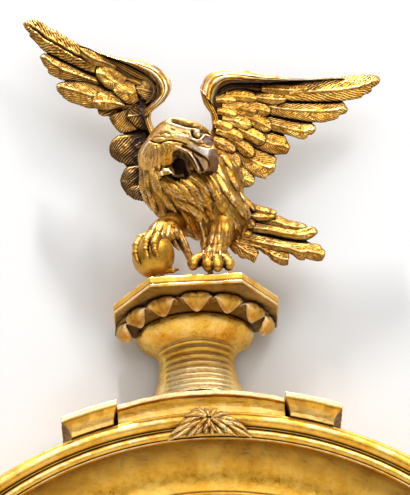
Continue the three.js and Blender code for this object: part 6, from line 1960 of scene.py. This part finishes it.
def backboard_piece():
    bk = Bucket()
    cuts = [-319.6, -212, -96, 22, 131, 236, 319.6]
    k = 1.0
    for j, (x0, x1) in enumerate(zip(cuts[:-1], cuts[1:])):
        x = np.linspace(x0 + 0.25, x1 - 0.25, max(8, int((x1 - x0) / (3.0 * k))))
        hh = np.sqrt(np.maximum(319.8 ** 2 - x ** 2, 60.0))
        n = int(640 / (3.4 * k))
        t = np.linspace(-1, 1, n)
        Xg = np.stack([np.broadcast_to(x[:, None], (len(x), n)), np.zeros((len(x), n)), hh[:, None] * t[None, :]], -1)
        e = np.minimum(np.minimum(x - x[0], x[-1] - x)[:, None] + 0 * t, (1 - np.abs(t))[None, :] * hh[:, None])
        rnd = 0.8 * np.exp(-e / 0.7)
        saw = 0.22 * np.abs(np.sin(Xg[..., 2] * 0.55 + 3 * noise3(Xg, 0.02, 110.0 + j))) + 0.3 * noise3(Xg * np.array([1, 1, 0.1]), 0.25, 111.0 + j)
        back = Xg.copy()
        back[..., 1] = -(0.02 + rnd + 0.5 * saw)
        front = Xg.copy()
        front[..., 1] = -(9.68 - rnd * 0.6 - 0.15 * saw)
        m = n
        nn = len(x)
        K = nn * m
        V = np.vstack([back.reshape(-1, 3), front.reshape(-1, 3)])
        F = [grid_faces(nn, m), grid_faces(nn, m, True, K)]
        i = np.arange(nn - 1)
        F.append(np.stack([i * m, K + i * m, K + (i + 1) * m, (i + 1) * m], -1))
        F.append(np.stack([i * m + m - 1, (i + 1) * m + m - 1, K + (i + 1) * m + m - 1, K + i * m + m - 1], -1))
        q = np.arange(m - 1)
        F.append(np.stack([q, q + 1, K + q + 1, K + q], -1))
        F.append(np.stack([(nn - 1) * m + q, K + (nn - 1) * m + q, K + (nn - 1) * m + q + 1, (nn - 1) * m + q + 1], -1))
        add_solid(bk, V, F, np.r_[np.clip(rnd, 0, 1).ravel() * 0.6, np.zeros(K)])
    return bk.build("back_planks", PINE, "root", ("backboard",), "pine")


backboard_piece()
worked("crest_batten_sawn", "crest_batten", PINE, bevel=1.2, amp=0.5, seed=121.0, scale=0.1)
for i_ in range(4):
    worked(f"plate_wedge_{i_ + 1}", f"plate_block_{i_ + 1}", PINE, bevel=0.4, amp=0.3, seed=122.0 + i_)


def screw_piece(name, x, z, dh, head, shank, length, seed):
    bk = Bucket()
    prof = [(0, dh + 0.02), (head * 0.97, dh + 0.02), (head, dh + 0.2), (shank + 0.25, dh + 0.6 + head - shank), (shank, dh + 2 + head - shank), (shank * 0.92, dh + length - 4), (0, dh + length - 0.3)]
    ang = TAU * hash01(seed)

    def wob(X, T, r, h):
        u = (X[..., 0] - x) * math.cos(ang) + (X[..., 2] - z) * math.sin(ang)
        slot = (h < dh + 0.12) * (np.abs(u) < 0.42) * (r < head * 0.94)
        thread = 0.32 * shank * (np.abs(((h / 1.9 - T / TAU) % 1.0) - 0.5) - 0.32) * (h > dh + 4) * smooth(dh + length - 1, dh + length - 4, h)
        return -1.0 * slot + thread

    revolve(bk, prof, 44, x, z, "y", wob, lambda X, T, r, h: 0.3 * (h < dh + 0.5) * (r < 1), None, 0.32)
    return bk.build(name + "_slotted", IRON, "root", (name,), "iron")


for i_ in range(6):
    a_ = math.radians(30 + 60 * i_)
    screw_piece(f"board_screw_{i_ + 1}", 313 * math.cos(a_), 313 * math.sin(a_), 0.5, 3.6, 1.9, 20, 131.0 + i_)
for side_, s_ in (("left", -1), ("right", 1)):
    screw_piece(f"hanger_screw_{side_}_lower", s_ * 226, 272, 8.2, 2.6, 1.5, 14, 141.0 + s_)
    screw_piece(f"hanger_screw_{side_}_upper", s_ * 226, 285, 8.2, 2.6, 1.5, 14, 145.0 + s_)
for i_, (x_, z_, l_, hd_, sh_) in enumerate([(-14, 338, 26, 3.4, 1.9), (14, 366, 26, 3.4, 1.9), (0, 393, 18, 3.4, 1.9), (-1, 440, 26, 3.4, 1.9), (-1, 495, 26, 3.0, 1.6)]):
    screw_piece(f"batten_screw_{i_ + 1}", x_, z_, 2.5, hd_, sh_, l_, 151.0 + i_)


def dowel_piece(name, r, x, d, z0, z1, seed):
    bk = Bucket()

    def wob(X, T, rr, h):
        return (-0.22 * np.abs(np.sin(T * 9)) ** 3 + 0.15 * (noise3(X, 0.4, seed) - 0.5)) * (rr > r * 0.6)

    revolve(bk, [(0, z0), (r * 0.8, z0), (r, z0 + 1), (r, z1 - 1), (r * 0.8, z1), (0, z1)], 60, x, d, "z", wob, None, None, 1.0)
    return bk.build(name + "_turned", DOWEL, "root", (name,), "dowel_wood")


dowel_piece("neck_dowel", 5, -1, 28, 387, 432, 161.0)
dowel_piece("plinth_dowel", 5, -1, 40, 456, 496, 162.0)
dowel_piece("foot_dowel", 3, 16, 97, 491.5, 540, 163.0)
dowel_piece("ball_dowel", 3, -36.8, 101, 491.5, 556, 164.0)

# ------------------------------------------------------------------ hangers
for side_, s_ in (("left", -1), ("right", 1)):
    worked(f"hanger_plate_{side_}_forged", f"hanger_plate_{side_}", IRON, bevel=0.35, cuts=2, amp=0.22, seed=171.0 + s_, scale=0.3)
    c_ = np.array([(-7.5, 0), (-3, 0), (3, 0), (7.5, 0), (11.5, -2.5), (12, -7), (8.5, -12.5), (0, -15.5), (-8.5, -12.5), (-12, -7), (-11.5, -2.5)], float)
    cc_ = np.vstack([c_[-1], c_, c_[:2]])
    out_ = []
    for i_ in range(len(c_)):
        p0, p1, p2, p3 = cc_[i_:i_ + 4]
        t_ = np.linspace(0, 1, 13)[:-1, None]
        m1, m2 = 0.4 * (p2 - p0), 0.4 * (p3 - p1)
        out_.append((2 * t_ ** 3 - 3 * t_ ** 2 + 1) * p1 + (t_ ** 3 - 2 * t_ ** 2 + t_) * m1 + (-2 * t_ ** 3 + 3 * t_ ** 2) * p2 + (t_ ** 3 - t_ ** 2) * m2)
    q_ = np.vstack(out_)
    P_ = np.stack([s_ * 226 + q_[:, 0], np.full(len(q_), -5.2), 262 + q_[:, 1]], 1)
    bk_ = Bucket()
    tube(bk_, P_, (0, 1, 0), 1.66, 18, True, lambda s, a: 0.10 * (noise1(s * 1.1 + 3 * np.cos(a), 175.0) - 0.5))
    bk_.build(f"hanger_loop_{side_}_wire", IRON, f"loop_{side_}", (f"hanger_loop_{side_}",), "iron")


# ------------------------------------------------------------------ candle arms
def arm_pieces(side, s):
    ax, ad, az = s * 257.0, 82.0, -249.0
    dx, dd = s * 33.0, 118.0
    body = f"arm_{side}"
    # bracket: a carved rosette, a boss and the shelf for the hub
    bk = Bucket()

    def rose(X, T, r, h):
        f = smooth(5, 8, r) * smooth(23.2, 21, r) * (h > 60)
        pet = np.abs(np.cos(T * 6))
        vein = np.abs(np.sin(T * 6)) ** 14
        return f * (-1.5 * (1 - pet ** 0.45) - 0.35 * vein * 0 + 0.5 * np.exp(-((pet - 1) / 0.02) ** 2) * 0.6) + 0.3 * (noise3(X, 0.3, 181.0) - 0.5) * (h > 58.5)

    prof = [(0, 58.05), (22, 58.05), (22.9, 59), (23, 61), (22.2, 63.6), (20.6, 65.6), (17.6, 66.6), (14.4, 66.0), (11.4, 66.4), (10.2, 67.8), (9.2, 69.1), (7, 69.7), (4, 69.95), (0, 69.95)]
    # painted shade between the rosette's petals and in the groove round the boss
    revolve(bk, prof, 240, ax, -257.0, "y", rose, lambda X, T, r, h: np.clip((1 - np.abs(np.cos(T * 6)) ** 0.5) * (r > 6) * (h > 60) + 0.6 * np.exp(-((r - 10.2) / 0.9) ** 2) * (h > 62), 0, 1), None, 0.5)
    sh = [(0, az - 22), (1.6, az - 21.6), (3, az - 20), (3.6, az - 18), (3.2, az - 16.4), (5.4, az - 14.4), (7.2, az - 12), (7.6, az - 9.6), (6.9, az - 8), (8.2, az - 6.6), (8.5, az - 5),
          (8.5, az - 0.6), (8.2, az - 0.1), (3.4, az - 0.02), (3.35, az - 6), (0, az - 6)]
    revolve(bk, sh, 120, ax, ad, "z", lambda X, T, r, h: (-0.35 * (1 - np.abs(np.cos(T * 8)) ** 0.5) * smooth(az - 20, az - 17, h) * smooth(az - 8, az - 10, h)) * (r > 3.5) + 0.15 * (noise3(X, 0.4, 182.0) - 0.5) * (r > 3.6),
            lambda X, T, r, h: 0.5 * np.exp(-((h - (az - 8)) / 0.8) ** 2) + 0.4 * np.exp(-((h - (az - 16.4)) / 0.8) ** 2), None, 0.5)
    v = Vol((ax - 14, -90, -272), (ax + 14, -60, -245.2), 0.7)
    v.cone((ax, -66, -257), (ax, -79, -256.6), 7.6, 5.4, 2)
    v.cone((ax - 5, -67, -264), (ax - 1, -80, -259), 2.4, 1.8, 1.5)
    v.cone((ax + 5, -67, -264), (ax + 1, -80, -259), 2.4, 1.8, 1.5)
    V, Q = v.mesh()
    bk.add(V, [Q], hollow_dirt_and_shade(v, V) * 0.6)
    bk.build(f"arm_bracket_{side}_carving", GOLD_FRAME, "root", (f"arm_bracket_{side}",), "giltwood")
    # pin with its finial
    bk = Bucket()
    pin = [(0, az - 15), (2.7, az - 15), (2.98, az - 14.4), (2.98, az + 19.1), (5.1, az + 19.3), (5.2, az + 20), (4.4, az + 20.5), (5.6, az + 21.4), (6, az + 22.3), (5.4, az + 23.2),
           (3.6, az + 23.9), (2.3, az + 24.3), (2.5, az + 25.2), (1.8, az + 26.2), (0, az + 26.5)]
    revolve(bk, pin, 64, ax, ad, "z", lambda X, T, r, h: 0.05 * (noise3(X, 0.6, 183.0) - 0.5), None, None, 0.4)
    bk.build(f"arm_pin_{side}_turned", BRASS, "root", (f"arm_pin_{side}",), "brass")
    # arm: hub, S-shaped branch with leaf wraps, knops and seat
    bk = Bucket()
    hub = [(3.4, az + 0.55), (7.3, az + 0.55), (7.8, az + 1.4), (8.4, az + 2.6), (8.0, az + 3.8), (6.9, az + 4.6), (6.6, az + 6), (7.1, az + 8), (7.4, az + 9.6), (7.1, az + 11.2), (6.6, az + 13),
           (6.9, az + 14.6), (8.0, az + 15.2), (8.4, az + 16.2), (7.9, az + 17.6), (7.4, az + 18.7), (3.4, az + 18.7)]
    revolve(bk, hub, 90, ax, ad, "z", lambda X, T, r, h: 0.06 * (noise3(X, 0.5, 184.0) - 0.5), lambda X, T, r, h: 0.5 * np.exp(-((r - 6.6) / 0.4) ** 2), None, 0.45, closed=True)
    L = math.hypot(dx, dd)
    c = crom([(0.052 * L, 9.6), (0.2 * L, 4), (0.38 * L, -14), (0.58 * L, -26), (0.8 * L, -22), (0.95 * L, -2), (L, 20), (L, 38)], 240)
    P = np.stack([ax + dx * c[:, 0] / L, -(ad + dd * c[:, 0] / L), az + c[:, 1]], 1)
    u = np.linspace(0, 1, len(P))
    rad = 3.6 + 0.25 * np.cos(TAU * u * 3)
    for c0, w, h in ((0.30, 0.012, 1.5), (0.325, 0.018, 1.9), (0.35, 0.012, 1.5), (0.755, 0.012, 1.4), (0.78, 0.018, 1.9), (0.805, 0.012, 1.4)):
        rad = rad + h * np.exp(-((u - c0) / w) ** 2)

    def leafy(ss, a):
        w = ss / ss.max()
        wrap = smooth(0.02, 0.06, w) * smooth(0.26, 0.20, w) + smooth(0.38, 0.42, w) * smooth(0.70, 0.60, w)
        return wrap * (0.55 * np.abs(np.cos(2.5 * a + 0.35 * ss)) ** 0.6 - 0.25) + 0.06 * (noise1(ss * 0.6 + 2 * np.cos(a), 185.0) - 0.5)

    tube(bk, P, (-dd / L, -dx / L, 0), rad, 40, False, leafy,
         lambda ss, a: np.clip(0.5 * (1 - np.abs(np.cos(2.5 * a + 0.35 * ss)) ** 0.6) * (smooth(0.38, 0.42, ss / ss.max()) * smooth(0.70, 0.60, ss / ss.max())), 0, 1))
    cx, cd = ax + dx, ad + dd
    seat = [(0, az + 30), (4.2, az + 30), (5.2, az + 31), (4.6, az + 32.4), (5.4, az + 34), (7.4, az + 36.4), (8.9, az + 38), (9, az + 39.7), (8.6, az + 40), (0, az + 40)]
    revolve(bk, seat, 80, cx, cd, "z", None, lambda X, T, r, h: 0.4 * np.exp(-((h - az - 32.4) / 0.7) ** 2), None, 0.5)
    bk.build(f"candle_arm_{side}_cast", BRASS, body, (f"candle_arm_{side}",), "brass")
    # drip pan with a fluted, beaded rim
    bk = Bucket()
    pan = [(0, az + 40.35), (12, az + 40.4), (18, az + 41.2), (26, az + 43.3), (32, az + 46.4), (36.2, az + 49.6), (36.9, az + 50.4), (36.6, az + 51.4), (35.8, az + 51.6), (34.6, az + 50.7),
           (31.4, az + 48.6), (25.4, az + 45.7), (18, az + 43.9), (12, az + 43.0), (0, az + 43.0)]

    def flute(X, T, r, h):
        return 0.7 * smooth(14, 24, r) * smooth(36.9, 33, r) * (np.abs(np.sin(T * 12)) ** 0.6 - 0.5) * np.where(h > az + 41.9 + 0 * r, 1, 1) * 0.5 + 0.35 * smooth(35.4, 36.2, r) * (np.abs(np.sin(T * 36)) - 0.6)

    revolve(bk, pan, 432, cx, cd, "z", flute, lambda X, T, r, h: np.clip(0.35 * smooth(16, 12, r) + 0.3 * (1 - np.abs(np.sin(T * 12)) ** 0.6) * smooth(14, 24, r), 0, 1), None, 0.7)
    bk.build(f"drip_pan_{side}_fluted", BRASS, body, (f"drip_pan_{side}",), "brass")
    # candle cup: a small urn with gadroons
    bk = Bucket()
    cup = [(0, az + 43.35), (9.8, az + 43.4), (10, az + 44.4), (9.2, az + 45.4), (7.6, az + 46.6), (6.9, az + 49), (6.9, az + 51), (7.8, az + 51.9), (7.9, az + 52.8), (7.2, az + 53.4), (8.4, az + 55.6), (11.2, az + 59),
           (13.2, az + 62.6), (14.4, az + 67), (15, az + 72), (14.9, az + 75), (14.3, az + 78.6), (14.0, az + 81), (14.6, az + 84), (16, az + 86.2), (16.9, az + 87.1), (16.9, az + 88.4), (16.2, az + 88.6),
           (11.6, az + 88.6), (11.25, az + 88.1), (11.2, az + 61), (0, az + 60.2)]

    def gad(X, T, r, h):
        g = smooth(az + 54, az + 58, h) * smooth(az + 71, az + 66, h) * (r > 7.5)
        g2 = smooth(az + 86.6, az + 87.2, h) * (r > 16.2)
        b = np.exp(-((h - az - 74) / 0.9) ** 2) * (r > 13)
        return g * (1.0 * np.abs(np.sin(T * 8)) ** 0.55 - 0.8) + 0.25 * g2 * (np.abs(np.sin(T * 22)) - 0.6) + 0.35 * b

    revolve(bk, cup, 176, cx, cd, "z", gad, lambda X, T, r, h: np.clip(0.8 * (1 - np.abs(np.sin(T * 8)) ** 0.5) * smooth(az + 54, az + 58, h) * smooth(az + 71, az + 66, h) * (r > 7.5) + 0.7 * (r < 11.4) * (h > az + 55) + 0.5 * np.exp(-((h - az - 53.4) / 0.7) ** 2), 0, 1),
            None, 0.45)
    bk.build(f"candle_cup_{side}_cast", BRASS, body, (f"candle_cup_{side}",), "brass")


arm_pieces("left", -1)
arm_pieces("right", 1)


# ------------------------------------------------------------------ stage, light, camera
def one_sided(name, color, rough=0.85):
    M = Nodes(name)
    n = M.noise(1.1, 3, 0.5)
    col = M.ramp(n, [(0.3, tuple(c * 0.985 for c in color)), (0.7, color)])
    M.done(col, rough, 0.0)
    geo = M.node("ShaderNodeNewGeometry")
    tr = M.node("ShaderNodeBsdfTransparent")
    mx = M.node("ShaderNodeMixShader")
    M.link(geo.outputs["Backfacing"], mx.inputs[0])
    M.link(M.b.outputs[0], mx.inputs[1])
    M.link(tr.outputs[0], mx.inputs[2])
    M.link(mx.outputs[0], M.out.inputs[0])
    return M.m


def plane(name, corners, mat):
    me = bpy.data.meshes.new(name)
    me.from_pydata(corners, [], [(0, 1, 2, 3)])
    me.update()
    me.materials.append(mat)
    ob = bpy.data.objects.new(name, me)
    bpy.context.scene.collection.objects.link(ob)
    return ob


WALL = one_sided("stage_wall", (0.70, 0.71, 0.725))
FLOOR = one_sided("stage_floor", (0.57, 0.54, 0.49))
plane("stage_wall", [(-5, 0.0006, -1.35), (5, 0.0006, -1.35), (5, 0.0006, 5), (-5, 0.0006, 5)], WALL)
plane("stage_floor", [(-5, -6, -1.35), (5, -6, -1.35), (5, 0.0006, -1.35), (-5, 0.0006, -1.35)], FLOOR)


def area(name, loc, at, size, power, color=(1, 1, 1), size_y=None):
    l = bpy.data.lights.new(name, "AREA")
    l.energy = power
    l.color = color
    l.size = size
    if size_y:
        l.shape = "RECTANGLE"
        l.size_y = size_y
    ob = bpy.data.objects.new(name, l)
    bpy.context.scene.collection.objects.link(ob)
    ob.location = loc
    ob.rotation_euler = (Vector(at) - Vector(loc)).to_track_quat("-Z", "Y").to_euler()
    return ob


area("key_top", (-0.18, -1.06, 5.6), (0.0, -0.05, 0.4), 0.28, 430, (1.0, 0.99, 0.965))
area("key_right", (1.15, -1.6, 2.3), (0.0, -0.05, 0.5), 0.5, 14, (1.0, 0.985, 0.96))
world = bpy.data.worlds.new("studio")
bpy.context.scene.world = world
bpy.context.scene.view_settings.view_transform = "Standard"
world.use_nodes = True
wt = world.node_tree
bg = wt.nodes["Background"]
wtc = wt.nodes.new("ShaderNodeTexCoord")
wsep = wt.nodes.new("ShaderNodeSeparateXYZ")
wt.links.new(wtc.outputs["Generated"], wsep.inputs[0])
wmap = wt.nodes.new("ShaderNodeMapRange")
wmap.inputs[1].default_value = -1.0
wmap.inputs[2].default_value = 1.0
wt.links.new(wsep.outputs[2], wmap.inputs[0])
wr = wt.nodes.new("ShaderNodeValToRGB")
el = wr.color_ramp.elements
for _ in range(4):
    el.new(0.5)
for e_, (p_, c_) in zip(el, [(0.0, 0.11), (0.38, 0.13), (0.50, 0.24), (0.60, 0.44), (0.78, 0.72), (1.0, 1.0)]):
    e_.position = p_
    e_.color = (c_, c_, c_ * 1.02, 1)
wt.links.new(wmap.outputs[0], wr.inputs[0])
# a broad bright panel in front and above
wdot = wt.nodes.new("ShaderNodeVectorMath")
wdot.operation = "DOT_PRODUCT"
pan = Vector((0.14, -0.80, 0.58)).normalized()
wdot.inputs[1].default_value = tuple(pan)
wt.links.new(wtc.outputs["Generated"], wdot.inputs[0])
wlobe = wt.nodes.new("ShaderNodeMapRange")
wlobe.interpolation_type = "SMOOTHSTEP"
wlobe.inputs[1].default_value = 0.70
wlobe.inputs[2].default_value = 0.93
wlobe.inputs[3].default_value = 0.0
wlobe.inputs[4].default_value = 1.65
wt.links.new(wdot.outputs["Value"], wlobe.inputs[0])
wadd = wt.nodes.new("ShaderNodeVectorMath")
wadd.operation = "ADD"
wt.links.new(wr.outputs[0], wadd.inputs[0])
wt.links.new(wlobe.outputs[0], wadd.inputs[1])
wt.links.new(wadd.outputs[0], bg.inputs[0])
bg.inputs[1].default_value = 0.84

cam = bpy.data.cameras.new("camera")
cam.sensor_fit = "AUTO"
cam.sensor_width = 36.0
cam.lens = CAM_PX / 495.0 * 36.0
cam.clip_start, cam.clip_end = 0.05, 50
cam_ob = bpy.data.objects.new("camera", cam)
bpy.context.scene.collection.objects.link(cam_ob)
M4 = Matrix.Identity(4)
for i in range(3):
    M4[i][0], M4[i][1], M4[i][2], M4[i][3] = CAM_R[i], CAM_U[i], -CAM_F[i], CAM_C[i] * 0.001
cam_ob.matrix_world = M4
bpy.context.scene.camera = cam_ob

bpy.context.view_layer.update()
